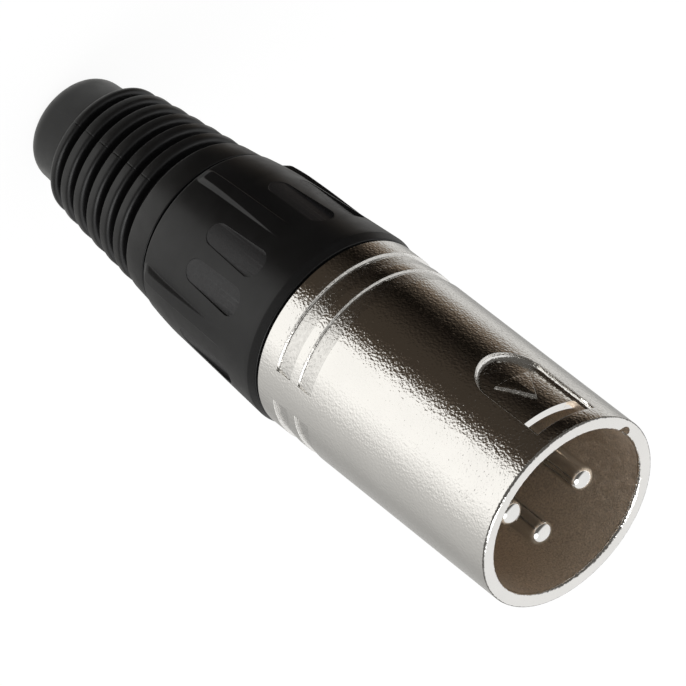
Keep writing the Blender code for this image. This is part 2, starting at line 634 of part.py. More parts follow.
def nut_bore():
    """Cutter for the nut's inside: threaded bore, chuck cone, lip pocket and neck hole."""
    return turned([
        (0, NUT_FRONT_Z + CUTTER_OVERSHOOT),
        (NUT_BORE_RADIUS, NUT_FRONT_Z + CUTTER_OVERSHOOT),
        (NUT_BORE_RADIUS, CONE_TOP_Z),
        (CONE_RADIUS, CONE_BASE_Z),
        (CONE_RADIUS, NUT_REAR_Z + NUT_REAR_WALL),
        (NECK_HOLE_RADIUS, NUT_REAR_Z + NUT_REAR_WALL),
        (NECK_HOLE_RADIUS, NUT_REAR_Z - CUTTER_OVERSHOOT),
        (0, NUT_REAR_Z - CUTTER_OVERSHOOT),
    ], NUT_FACETS, closed=False)


def nut(parent):
    """Grip nut: tapered body with raised ridges and sunk thumb pads, then bored out."""
    shoulder_z = NUT_FRONT_Z - NUT_SHOULDER_FROM_FRONT
    rings = [NUT_REAR_Z + (shoulder_z - NUT_REAR_Z) * step / 4 for step in range(5)]
    profile = [
        (0, NUT_REAR_Z),
        *[(nut_radius(height), height) for height in rings],
        (NUT_RADIUS, NUT_FRONT_Z - NUT_CHAMFER_LENGTH),
        (NUT_RADIUS - NUT_CHAMFER_DEPTH, NUT_FRONT_Z),
        (0, NUT_FRONT_Z),
    ]
    made = place(turned(profile, NUT_FACETS, closed=False), "grip_nut", parent)

    set_angles = [RIDGE_ANGLE + 2 * math.pi * index / GRIP_SETS for index in range(GRIP_SETS)]
    spacing = 2 * math.pi / GRIP_SETS / 3
    ridges = round_the_axis(ridge, set_angles)
    boolean(made, as_cutter(place(ridges, "grip_ridges")), "UNION")
    pad_angles = [angle + spacing * side for angle in set_angles for side in (-1, 1)]
    boolean(made, as_cutter(place(round_the_axis(pad, pad_angles), "pad_cutter")))
    boolean(made, as_cutter(place(nut_bore(), "nut_bore_cutter")))
    made.data.materials.append(material("nut_plastic", (0.03, 0.03, 0.032), 0.38, 0.0))
    return made


def boot(parent):
    """Soft bend relief: plain nose, ribs that grow towards the nut, collar, neck and lip."""
    profile = [
        (CABLE_RADIUS, 0),
        *arc((NOSE_RADIUS - NOSE_TAPER - NOSE_EDGE, NOSE_EDGE), NOSE_EDGE, -math.pi / 2, 0, 3),
    ]
    for index in range(RIB_COUNT):
        share = index / (RIB_COUNT - 1)
        crest = LAST_RIB_RADIUS + (FIRST_RIB_RADIUS - LAST_RIB_RADIUS) * share ** RIB_SWELL_POWER
        low = NOSE_LENGTH + index * RIB_PITCH
        high = low + RIB_WIDTH
        root = NOSE_RADIUS if index == 0 else crest - RIB_DEPTH
        profile += [
            (root, low),
            (crest - RIB_EDGE, low),
            (crest, low + RIB_EDGE),
            (crest, high - RIB_EDGE),
            (crest - RIB_EDGE, high),
            (crest - RIB_DEPTH, high),
        ]
    profile += [
        (FIRST_RIB_RADIUS - RIB_DEPTH, COLLAR_BASE_Z),
        (COLLAR_RADIUS - COLLAR_EDGE, COLLAR_BASE_Z),
        (COLLAR_RADIUS, COLLAR_BASE_Z + COLLAR_EDGE),
        (COLLAR_TOP_RADIUS, COLLAR_TOP_Z),
        (NECK_RADIUS, COLLAR_TOP_Z),
        (NECK_RADIUS, LIP_BASE_Z),
        (LIP_RADIUS, LIP_BASE_Z),
        (LIP_RADIUS, LIP_TOP_Z),
        (NECK_RADIUS - NECK_WALL, LIP_TOP_Z),
        (NECK_RADIUS - NECK_WALL, COLLAR_BASE_Z),
        (CABLE_RADIUS, CABLE_HOLE_LENGTH),
    ]
    made = place(turned(profile, BOOT_FACETS), "boot", parent)
    made.data.materials.append(material("boot_rubber", (0.022, 0.022, 0.023), 0.55, 0.0))
    return made


def frame_point(name, parent=None):
    """Empty on the plug's axis that carries a group of pieces."""
    made = bpy.data.objects.new(name, None)
    bpy.context.collection.objects.link(made)
    made.parent = parent
    return made


def build():
    """Model the plug: the shell's group, the sliding chuck and the turning nut."""
    for obj in list(bpy.data.objects):
        bpy.data.objects.remove(obj)
    shell()
    inside = frame_point("inside_shell")
    insert(inside)
    for name, angle in PIN_ANGLES.items():
        pin(name, angle, inside)
    ground_contact(inside)
    slide = frame_point("chuck_slide")
    chuck(slide)
    turn = frame_point("nut_turn", slide)
    nut(turn)
    boot(turn)


build()
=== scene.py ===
"""Looks of the three-pole cable plug, laid out as a Blender add-on and run as a script.

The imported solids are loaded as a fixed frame. Each operator makes one piece, or one group of like
pieces, in the same frame: +Z is the plug's own axis, z = 0 is the boot's end, and the latch window
faces -Y. Angles round the axis are counted from the window, towards +X. Lengths are metres.
"""

import math
from functools import partial
from typing import NamedTuple

import bmesh
import bpy
from bpy.props import FloatProperty, FloatVectorProperty, PointerProperty
from mathutils import Matrix, Vector


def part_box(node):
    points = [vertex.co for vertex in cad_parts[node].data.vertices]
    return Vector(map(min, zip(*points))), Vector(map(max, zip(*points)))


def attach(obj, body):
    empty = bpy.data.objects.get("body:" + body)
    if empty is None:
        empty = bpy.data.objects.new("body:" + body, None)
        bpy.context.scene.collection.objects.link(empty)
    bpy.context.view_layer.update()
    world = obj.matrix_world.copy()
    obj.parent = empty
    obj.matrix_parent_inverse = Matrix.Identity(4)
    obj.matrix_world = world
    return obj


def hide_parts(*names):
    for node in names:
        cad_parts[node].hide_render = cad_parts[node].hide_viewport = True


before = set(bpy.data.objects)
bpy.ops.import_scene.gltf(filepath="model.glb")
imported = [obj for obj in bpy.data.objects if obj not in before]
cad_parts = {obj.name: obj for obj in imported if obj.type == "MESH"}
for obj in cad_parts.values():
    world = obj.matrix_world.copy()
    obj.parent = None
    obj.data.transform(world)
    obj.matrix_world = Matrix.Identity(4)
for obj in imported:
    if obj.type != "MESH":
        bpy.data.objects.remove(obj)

bl_info = {
    "name": "Cable plug looks",
    "version": (1, 0, 0),
    "blender": (4, 5, 0),
    "location": "View3D > Sidebar > Cable plug",
    "description": "Dresses the solids of a three-pole cable plug and sets its studio",
    "category": "Object",
}

MM = 0.001
FULL_TURN = 2 * math.pi
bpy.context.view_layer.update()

# Places that the frame gives.
SHELL_LOW, SHELL_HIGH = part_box("shell")
NUT_LOW, NUT_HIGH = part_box("grip_nut")
BOOT_LOW, BOOT_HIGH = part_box("boot")
INSERT_LOW, INSERT_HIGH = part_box("insert")
PIN_NODES = ("pin_1", "pin_2", "pin_3")
PIN_BOXES = {name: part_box(name) for name in PIN_NODES}
MOUTH_Z = SHELL_HIGH.z
SPIGOT_END_Z = SHELL_LOW.z
SHELL_REAR_RADIUS = SHELL_HIGH.x
NUT_REAR_Z = NUT_LOW.z
NUT_FRONT_Z = NUT_HIGH.z
NUT_RADIUS = NUT_HIGH.x
BOOT_END_Z = BOOT_LOW.z
LIP_TOP_Z = BOOT_HIGH.z
INSERT_FACE_Z = INSERT_HIGH.z
SKIRT_END_Z = INSERT_LOW.z
KEY_RADIUS = INSERT_HIGH.x

# The gap that touching pieces keep, how far a cutting tool reaches past what it cuts, and how
# near to the outside a vertex still counts as on it.
CLEARANCE = 0.3 * MM
OVERSHOOT = 1.0 * MM
ON_SURFACE = 0.02 * MM
SHOULDER_Z = NUT_FRONT_Z + CLEARANCE

# Counts, angles, and shapes without a length. A rib's four rounded corners are parts of its
# edge, and a thread's crest is a part of its width.
RIB_COUNT = 6
RIB_SWELL_POWER = 0.9
RIB_REAR, LAST_RIB_REAR, RIB_FRONT, RIB_FOOT = 0.4, 1.3, 1.6, 0.6
SEAM_ANGLE = math.radians(40.3)
GRIP_SETS = 5
RIDGE_ANGLE = math.radians(17.1)
RIDGE_SLOPE = 1.5
RIDGE_END_SLOPE = 0.75
NUT_SHOULDER_POWER = 1.4
THREAD_CREST = 0.3
KEYWAY_ANGLE = math.radians(-40.5)
GROOVE_COUNT = 2
GROOVE_BRIDGE_ANGLE = math.radians(19.5)

# A face whose normal turns this far from straight outwards is inside the mouth, or a pad's
# floor in its tool.
INSIDE_TURN = -0.3
PAD_FLOOR_TURN = -0.9

# Steps round each turned piece. Most are scaled by one fineness.
FINENESS = 1
SHELL_STEPS = round(240 * FINENESS)
HALF_STEP = math.pi / SHELL_STEPS
PIN_STEPS = round(64 * FINENESS)
INSERT_STEPS = round(144 * FINENESS)
THREAD_STEPS = round(120 * FINENESS)
KEYWAY_STEPS = 40

# The nut's mesh is finer where a ridge stands, and the boot's at the seam.
RIDGE_ZONE, RIDGE_STEPS = math.radians(12.6), round(42 * FINENESS)
BETWEEN_RIDGES_STEPS = round(46 * FINENESS)
SEAM_ZONE, SEAM_STEPS = math.radians(2.0), 10
HALF_BOOT_STEPS = round(150 * FINENESS)

# Widths of the strips that flat tools are cut into. The arrow's differ, so that no two meet.
STRIP = 0.2 * MM
ARROW_STRIP = 0.17 * MM


def length(default, description):
    """A length in millimetres here, which a user sets in scene units."""
    return FloatProperty(description=description, default=default * MM, min=0, unit="LENGTH",
                         precision=5)


def share(default, description):
    """A value between nothing and one."""
    return FloatProperty(description=description, default=default, min=0, max=1,
                         subtype="FACTOR")


def tint(default, description):
    """A colour that a user can set."""
    return FloatVectorProperty(description=description, default=default, size=3, min=0, max=1,
                               subtype="COLOR")


def labelled(group):
    """Label each of a group's settings after its own name."""
    for key, setting in group.__annotations__.items():
        setting.keywords["name"] = key.replace("_", " ").capitalize()
    return group


@labelled
class ShellSizes(bpy.types.PropertyGroup):
    """Sizes of the plated shell."""
    mouth_radius: length(8.2, "Inside radius of the mouth")
    mouth_chamfer: length(0.45, "Rounding inside the rim")
    wall: length(1.3, "Wall round the mouth")
    edge: length(0.35, "Rounding outside the rim")
    bore_step: length(0.8, "How much narrower the rear bore is")
    flange_height: length(0.9, "Height of the inner flange")
    flange_thickness: length(1.5, "Thickness of the inner flange")
    spigot_wall: length(0.9, "Wall of the threaded spigot")
    spigot_chamfer: length(0.4, "Chamfer at the spigot's end")
    relief_length: length(0.9, "Length of the relief behind the shoulder")
    relief_depth: length(0.15, "Depth of the relief behind the shoulder")
    window_half_width: length(3.25, "Half the width of the latch window")
    slot_from_mouth: length(1.73, "From the rim to the latch slot")
    slot_length: length(2.07, "Length of the latch slot")
    recess_length: length(7.95, "Length of the arched recess")
    recess_depth: length(0.55, "Depth of the arched recess")
    recess_cove: length(0.42, "How far the recess's hollow walls reach in")
    soft_edge: length(0.07, "Rounding that the plating leaves on cut edges")
    arrow_from_mouth: length(5.47, "From the rim to the arrow's tip")
    arrow_length: length(3.18, "Length of the raised arrow")
    arrow_half_width: length(1.95, "Half the width of the raised arrow")
    arrow_height: length(0.22, "Height of the raised arrow")
    arrow_slope: length(0.1, "How far the arrow's sides slope")
    arrow_edge: length(0.03, "Rounding of the arrow's crest")
    groove_pitch: length(2.8, "From one finger groove to the next")
    groove_length: length(1.8, "Length of a finger groove's ramp")
    groove_depth: length(0.25, "Depth of a finger groove")
    groove_from_shoulder: length(2.1, "From the shoulder to the first step")
    keyway_radius: length(0.75, "Radius of the keyway in the mouth")
    keyway_length: length(10.0, "Length of the keyway")
    key_width: length(2.4, "Width of the keys in the bore")
    thread_pitch: length(1.5, "Rise of the thread in one turn")
    thread_height: length(0.2, "Height of the thread's ridge")
    thread_width: length(0.62, "Width of the thread's ridge at its foot")
    thread_root: length(0.1, "How far the thread's ridge reaches into the wall")


@labelled
class NutSizes(bpy.types.PropertyGroup):
    """Sizes of the grip nut."""
    wall: length(1.15, "Wall round the thread")
    rear_wall: length(2.0, "Wall behind the boot's lip")
    taper: length(0.82, "How much the nut narrows to its shoulder")
    shoulder_drop: length(0.53, "How much the rounded rear narrows")
    shoulder_from_front: length(12.7, "From the front to the shoulder")
    chamfer_length: length(0.9, "Length of the front chamfer")
    chamfer_depth: length(0.2, "Depth of the front chamfer")
    front_edge: length(0.12, "Rounding of the front edge")
    cone_rise: length(1.1, "How much the cone inside widens")
    cone_behind_spigot: length(0.58, "From the spigot's end to the cone")
    ridge_width: length(1.7, "Width of a grip ridge at its foot")
    ridge_corner: length(0.45, "Rounding of a ridge's rear end")
    ridge_from_rear: length(0.25, "From the nut's rear to a ridge")
    ridge_height: length(0.52, "Most that a ridge stands over the nut")
    ridge_top_below_edge: length(0.33, "Ridge's top below the widest radius")
    ridge_blend: length(0.06, "Fillets of a ridge")
    crest_blend: length(0.3, "Rounding along a ridge's crest")
    pad_from_front: length(4.25, "From the nut's front to a pad")
    pad_length: length(7.1, "Length of a thumb pad")
    pad_width: length(2.44, "Width of a thumb pad in front")
    pad_corner: length(1.05, "Rounding of a pad's front corners")
    pad_rear_width: length(1.9, "Width of a thumb pad at its rear")
    pad_depth: length(0.4, "Depth of a thumb pad in front")
    pad_rear_depth: length(0.03, "Depth of a thumb pad at its rear")
    pad_draft: length(0.1, "How far a pad's wall slopes in that depth")
    pad_fillet: length(0.06, "Fillet round a pad's floor")
    ring_pitch: length(0.12, "Distance between the mesh's rings at the rear")


@labelled
class BootSizes(bpy.types.PropertyGroup):
    """Sizes of the rubber boot."""
    nose_length: length(5.05, "Length of the plain nose")
    nose_wall: length(2.22, "Wall of the nose next to the ribs")
    nose_taper: length(0.22, "How much the nose narrows")
    nose_edge: length(1.85, "Rounding of the nose's end")
    last_rib_inset: length(0.14, "How much narrower the last rib is")
    rib_pitch: length(2.14, "From one rib to the next")
    rib_width: length(1.1, "Width of a rib")
    rib_edge: length(0.3, "Rounding of a rib")
    rib_depth: length(1.15, "Depth between two ribs")
    last_rib_rise: length(1.12, "How far the last rib stands over the nose")
    first_rib_step: length(0.23, "How far the first rib lies under the collar")
    collar_length: length(2.78, "Length of the collar next to the nut")
    collar_step: length(0.17, "How far the collar lies under the nut")
    collar_flare: length(0.3, "How much the collar widens to the nut")
    collar_edge: length(0.25, "Rounding of the collar")
    cable_radius: length(3.25, "Radius of the opening for the cable")
    cable_hole_length: length(3.5, "Length of the narrow opening")
    neck_wall: length(1.2, "Wall of the neck inside the nut")
    lip_height: length(1.0, "Height of the lip inside the nut")
    lip_thickness: length(1.3, "Thickness of the lip inside the nut")
    small_edge: length(0.12, "Rounding of the opening and next to the nut")
    seam_width: length(0.18, "Width of the mould's seam line")
    seam_depth: length(0.06, "Depth of the mould's seam line")


@labelled
class ContactSizes(bpy.types.PropertyGroup):
    """Sizes of the pins and of the insulator round them."""
    radius: length(1.2, "Radius of a pin")
    dome: length(0.9, "Height of a pin's domed tip")
    dome_fullness: FloatProperty(description="How full the dome is: two is an ellipse",
                                 default=2.25, min=1)
    collar_radius: length(1.7, "Radius of the seating collar")
    collar_length: length(1.2, "Length of the seating collar")
    collar_depth: length(5.2, "From the insulator's face to the collar")
    cup_radius: length(1.45, "Outside radius of the solder cup")
    cup_bore_radius: length(1.05, "Inside radius of the solder cup")
    cup_length: length(5.2, "Length of the solder cup")
    cup_bore_depth: length(4.2, "Depth of the solder cup")
    scoop_length: length(2.94, "Length of the cup's cut-away side")
    insert_length: length(6.2, "Length of the solid insulator block")
    skirt_wall: length(0.8, "Wall of the skirt round the solder cups")
    face_edge: length(0.15, "Rounding of the insulator's face")
    pocket_width: length(3.6, "Width of the spring strip's pocket")
    pocket_depth: length(1.5, "Depth of the spring strip's pocket")
    pocket_wall: length(0.5, "Wall in front of the spring strip's pocket")


@labelled
class PlugColours(bpy.types.PropertyGroup):
    """Colours and gloss of the finishes."""
    plating: tint((0.9, 0.885, 0.855), "Satin nickel plating")
    plating_roughness: share(0.09, "Roughness of the plating")
    matt_roughness: share(0.5, "Roughness of the rubbed and the blasted plating")
    # Warmer and darker than the plating outside: painted shade inside the mouth.
    inner_plating: tint((0.96, 0.83, 0.69), "Plating inside the mouth")
    pin_plating: tint((0.92, 0.91, 0.885), "Bright plating of the pins")
    pin_roughness: share(0.1, "Roughness of the pins")
    nut_plastic: tint((0.0045, 0.0045, 0.0048), "Black plastic of the nut")
    nut_roughness: share(0.36, "Roughness of the nut")
    pad_plastic: tint((0.0072, 0.007, 0.008), "Grained floor of the thumb pads")
    boot_rubber: tint((0.004, 0.004, 0.0042), "Black rubber of the boot")
    boot_roughness: share(0.4, "Roughness of the boot")
    insulator: tint((0.011, 0.010, 0.010), "Black moulded insulator")
    insulator_roughness: share(0.5, "Roughness of the insulator")
    chuck_plastic: tint((0.62, 0.6, 0.55), "Natural plastic of the chuck")
    chuck_roughness: share(0.42, "Roughness of the chuck")
    strip_metal: tint((0.78, 0.68, 0.46), "Spring strip's metal")
    strip_roughness: share(0.28, "Roughness of the spring strip")


@labelled
class StudioSettings(bpy.types.PropertyGroup):
    """Camera, floor and light."""
    lens: FloatProperty(description="Focal length", default=360.87, unit="CAMERA", precision=2)
    floor_size: FloatProperty(description="Width of the floor", default=3.0, unit="LENGTH")
    card_radius: FloatProperty(description="Reach of the reflecting card", default=1.45,
                               unit="LENGTH")
    floor_glow: FloatProperty(description="Brightness of the floor to the camera",
                              default=1.03, min=0)
    floor_glow_share: share(0.9, "How little the plug's shadow shows on the floor")
    world_light: FloatProperty(description="Strength of the white room", default=0.75, min=0)
    key_power: FloatProperty(description="Power of the soft lamp", default=0.9, min=0,
                             unit="POWER")
    key_size: FloatProperty(description="Width of the soft lamp", default=0.35, unit="LENGTH")


def settings(name):
    """One group of the scene's settings."""
    return getattr(bpy.context.scene, name)


# Shapes.

def arc(centre, radius, start, end, steps=4):
    """Points of a flat arc between two angles in degrees, as pairs, both ends included."""
    start, end = math.radians(start), math.radians(end)
    turns = [start + (end - start) * step / steps for step in range(steps + 1)]
    return [(centre[0] + radius * math.cos(turn), centre[1] + radius * math.sin(turn))
            for turn in turns]


def corner(x, z, radius, start, end, steps=4):
    """A rounded corner: the arc that joins the two sides of a corner at that point."""
    middle = math.radians((start + end) / 2)
    centre = (x - math.copysign(radius, math.cos(middle)),
              z - math.copysign(radius, math.sin(middle)))
    return arc(centre, radius, start, end, steps)


def turned(profile, *parts, closed=True):
    """Spin a profile of (radius, height) points round the axis.

    Each part is (angle, steps), and the parts together make the full turn.
    """
    bm = bmesh.new()
    points = [bm.verts.new((radius, 0, height)) for radius, height in profile]
    ends = points[1:] + points[:1] if closed else points[1:]
    geom = points + [bm.edges.new(pair) for pair in zip(points, ends)]
    for angle, steps in parts:
        geom = bmesh.ops.spin(bm, geom=geom, cent=(0, 0, 0), axis=(0, 0, 1), angle=angle,
                              steps=steps, use_merge=len(parts) == 1)["geom_last"]
    bmesh.ops.remove_doubles(bm, verts=bm.verts, dist=1e-7)
    bmesh.ops.recalc_face_normals(bm, faces=bm.faces)
    return bm


def swept(section, angle, steps, rise=0.0):
    """Sweep a closed section part of the way round the axis, with flat ends."""
    bm = bmesh.new()
    corners = [bm.verts.new((radius, 0, height)) for radius, height in section]
    face = bm.faces.new(corners)
    bmesh.ops.spin(bm, geom=[face, *face.edges, *corners], cent=(0, 0, 0), axis=(0, 0, 1),
                   dvec=(0, 0, rise / steps), angle=angle, steps=steps)
    bmesh.ops.recalc_face_normals(bm, faces=bm.faces)
    return bm


def block(low, high):
    """Box between two corners."""
    bm = bmesh.new()
    bmesh.ops.create_cube(bm, size=1)
    low, high = Vector(low), Vector(high)
    bmesh.ops.scale(bm, verts=bm.verts, vec=high - low)
    bmesh.ops.translate(bm, verts=bm.verts, vec=(low + high) / 2)
    return bm


def stepped(outline, levels):
    """Raise a flat outline of (x, z) points level by level along Y.

    Each level is (inset, y). The first one is the flat back, and the outline is its own.
    """
    bm = bmesh.new()
    top = bm.faces.new([bm.verts.new((x, levels[0][1], z)) for x, z in outline])
    before, y = levels[0]
    for index, (inset, next_y) in enumerate(levels[1:]):
        if inset > before and index:
            bmesh.ops.inset_region(bm, faces=[top], thickness=inset - before,
                                   use_even_offset=True)
        else:
            raised = bmesh.ops.extrude_face_region(bm, geom=[top],
                                                   use_keep_orig=not index)["geom"]
            if index:
                bmesh.ops.delete(bm, geom=[top], context="FACES_ONLY")
            top = next(item for item in raised if isinstance(item, bmesh.types.BMFace))
        bmesh.ops.translate(bm, verts=top.verts, vec=(0, next_y - y, 0))
        before, y = inset, next_y
    bmesh.ops.recalc_face_normals(bm, faces=bm.faces)
    return bm


def in_strips(bm, half_width, pitch):
    """Cut a shape into strips along Z, so that it can be laid round the axis."""
    count = math.ceil(half_width / pitch)
    for index in range(-count, count):
        bmesh.ops.bisect_plane(bm, geom=[*bm.verts, *bm.edges, *bm.faces], dist=1e-8,
                               plane_co=((index + 0.5) * pitch, 0, 0), plane_no=(1, 0, 0))
    return bm


def round_surface(bm, radius):
    """Lay a shape on a cylinder: its y becomes the depth below that radius, facing -Y."""
    for vert in bm.verts:
        at = radius - vert.co.y
        vert.co.y = -math.sqrt(at ** 2 - vert.co.x ** 2)
    bmesh.ops.triangulate(bm, faces=bm.faces)
    bmesh.ops.recalc_face_normals(bm, faces=bm.faces)
    return bm


def mark_band(bm, radius, low, high, index=1):
    """Give the faces between two depths below a radius another finish."""
    for face in bm.faces:
        middle = face.calc_center_median()
        if low < radius - math.hypot(middle.x, middle.y) < high:
            face.material_index = index
    return bm


def turn_to(bm, angle):
    """Turn a shape that faces -Y to an angle from the window."""
    bmesh.ops.rotate(bm, verts=bm.verts, matrix=Matrix.Rotation(angle, 3, "Z"))
    return bm


def gather(pieces):
    """Put several bmeshes that don't touch into one."""
    joined = bmesh.new()
    for piece in pieces:
        mesh = bpy.data.meshes.new("gathered")
        piece.to_mesh(mesh)
        piece.free()
        joined.from_mesh(mesh)
        bpy.data.meshes.remove(mesh)
    return joined


def as_object(bm, name):
    """Put a bmesh into a new object, in the frame's own place."""
    mesh = bpy.data.meshes.new(name)
    bm.to_mesh(mesh)
    bm.free()
    made = bpy.data.objects.new(name, mesh)
    bpy.context.scene.collection.objects.link(made)
    return made


def shaped(obj, steps, finishes=()):
    """Cut tools out of an object, or add them, and keep the result as its own mesh."""
    for finish in finishes:
        obj.data.materials.append(finish)
    tools = [(as_object(bm, "tool"), operation) for bm, operation in steps]
    for tool, operation in tools:
        modifier = obj.modifiers.new("tool", "BOOLEAN")
        modifier.operation = operation
        modifier.object = tool
    bpy.context.view_layer.update()
    evaluated = obj.evaluated_get(bpy.context.evaluated_depsgraph_get())
    result = bpy.data.meshes.new_from_object(evaluated)
    obj.modifiers.clear()
    obj.data = result
    for tool, operation in tools:
        bpy.data.objects.remove(tool)
    if not obj.data.polygons:
        raise RuntimeError(f"{obj.name} lost its faces")
    return obj


def dress(obj, body, finishes, nodes=(), sharp=40, even=True):
    """Smooth a piece's round sides, give it its finishes and let it ride on its body."""
    obj.data.shade_smooth()
    obj.data.set_sharp_from_angle(angle=math.radians(sharp))
    indices = [polygon.material_index for polygon in obj.data.polygons]
    obj.data.materials.clear()
    for finish in finishes:
        obj.data.materials.append(finish)
    obj.data.polygons.foreach_set("material_index", indices)
    if even:
        modifier = obj.modifiers.new("even_shading", "WEIGHTED_NORMAL")
        modifier.keep_sharp = True
        modifier.weight = 90
    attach(obj, body)
    if nodes:
        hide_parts(*nodes)
    return obj


# Finishes.

# Most values of a noise lie between these.
NOISE_RANGE = (0.3, 0.7)


class Nodes:
    """The node tree of a material or world, built up step by step."""

    def __init__(self, owner):
        owner.use_nodes = True
        self.owner = owner
        self.tree = owner.node_tree

    def feed(self, socket, value):
        """Link a socket to another one, or set its value."""
        if isinstance(value, bpy.types.NodeSocket):
            self.tree.links.new(value, socket)
        else:
            socket.default_value = value

    def node(self, kind, **values):
        """A node, with its values and inputs set by name, _ standing for a space."""
        made = self.tree.nodes.new("ShaderNode" + kind)
        for key, value in values.items():
            if hasattr(made, key):
                setattr(made, key, value)
            else:
                self.feed(made.inputs[key.replace("_", " ")], value)
        return made

    def place(self):
        """Object coordinates."""
        return self.node("TexCoord").outputs["Object"]

    def maths(self, operation, *values, kind="Math"):
        """Result of a maths node on sockets or numbers."""
        made = self.node(kind, operation=operation)
        for socket, value in zip(made.inputs, values):
            self.feed(socket, value)
        return made.outputs["Value"]

    def ranged(self, value, source, target=(0, 1), how="LINEAR"):
        """Map one range of values to another."""
        made = self.node("MapRange", interpolation_type=how, Value=value, From_Min=source[0],
                         From_Max=source[1], To_Min=target[0], To_Max=target[1])
        return made.outputs["Result"]

    def blended(self, factor, first, second):
        """Mix two colours, each of them a colour or a socket."""
        made = self.node("Mix", data_type="RGBA", Factor=factor)
        sockets = [item for item in made.inputs if item.type == "RGBA"]
        for socket, value in zip(sockets, (first, second)):
            self.feed(socket, value if isinstance(value, bpy.types.NodeSocket) else (*value, 1))
        return next(item for item in made.outputs if item.type == "RGBA")


class Finish(Nodes):
    """A material on Object coordinates. Sizes and depths are in millimetres."""

    def __init__(self, name, base, roughness, inputs):
        super().__init__(bpy.data.materials.new(name))
        self.shader = self.tree.nodes["Principled BSDF"]
        values = {"Base Color": (*base, 1), "Roughness": roughness, **inputs}
        for key, value in values.items():
            self.shader.inputs[key].default_value = value
        self.base = base
        self.pattern_place = self.place()
        self.normal = None

    def pattern(self, size, detail=None, roughness=0.5, stretch=None):
        """Noise whose grains are about that size, or without a detail, rounded cells."""
        place, scale = self.pattern_place, 1 / (size * MM)
        if detail is None:
            return self.node("TexVoronoi", Vector=place, Scale=scale).outputs["Distance"]
        if stretch:
            place = self.node("Mapping", Vector=place, Scale=stretch).outputs["Vector"]
        return self.node("TexNoise", Vector=place, Scale=scale, Detail=detail,
                         Roughness=roughness).outputs["Fac"]

    def relief(self, height, depth):
        """Add bumps of a real depth."""
        made = self.node("Bump", Height=height, Distance=depth * MM, Strength=1.0)
        if self.normal:
            self.feed(made.inputs["Normal"], self.normal)
        self.normal = made.outputs["Normal"]

    def gloss(self, noise, low, high):
        """Let the roughness vary with a noise."""
        self.feed(self.shader.inputs["Roughness"], self.ranged(noise, NOISE_RANGE, (low, high)))

    def shade(self, noise, other):
        """Let the colour vary between its own and another."""
        factor = self.ranged(noise, NOISE_RANGE)
        self.feed(self.shader.inputs["Base Color"], self.blended(factor, self.base, other))


def scaled(colour, factor):
    """A colour made darker or lighter."""
    return tuple(min(1.0, part * factor) for part in colour)


class Recipe(NamedTuple):
    """What a finish is made of.

    A pattern is a noise's size, detail, roughness and stretch, or a size alone for the rounded
    cells that a blasted mould leaves.
    """
    colour: str  # The setting that it takes its colour from.
    roughness: str  # The same for its roughness.
    bumps: tuple  # Of patterns, each with its depth.
    gloss: tuple  # A pattern, and the factors of the roughness that it varies between.
    shade: tuple  # A pattern, and the factor of the colour that it varies to.
    tone: float = 1.0  # Factor of the colour itself.
    dullness: float = 1.0  # Factor of the roughness itself.
    inputs: dict = {}  # The shader's other inputs.


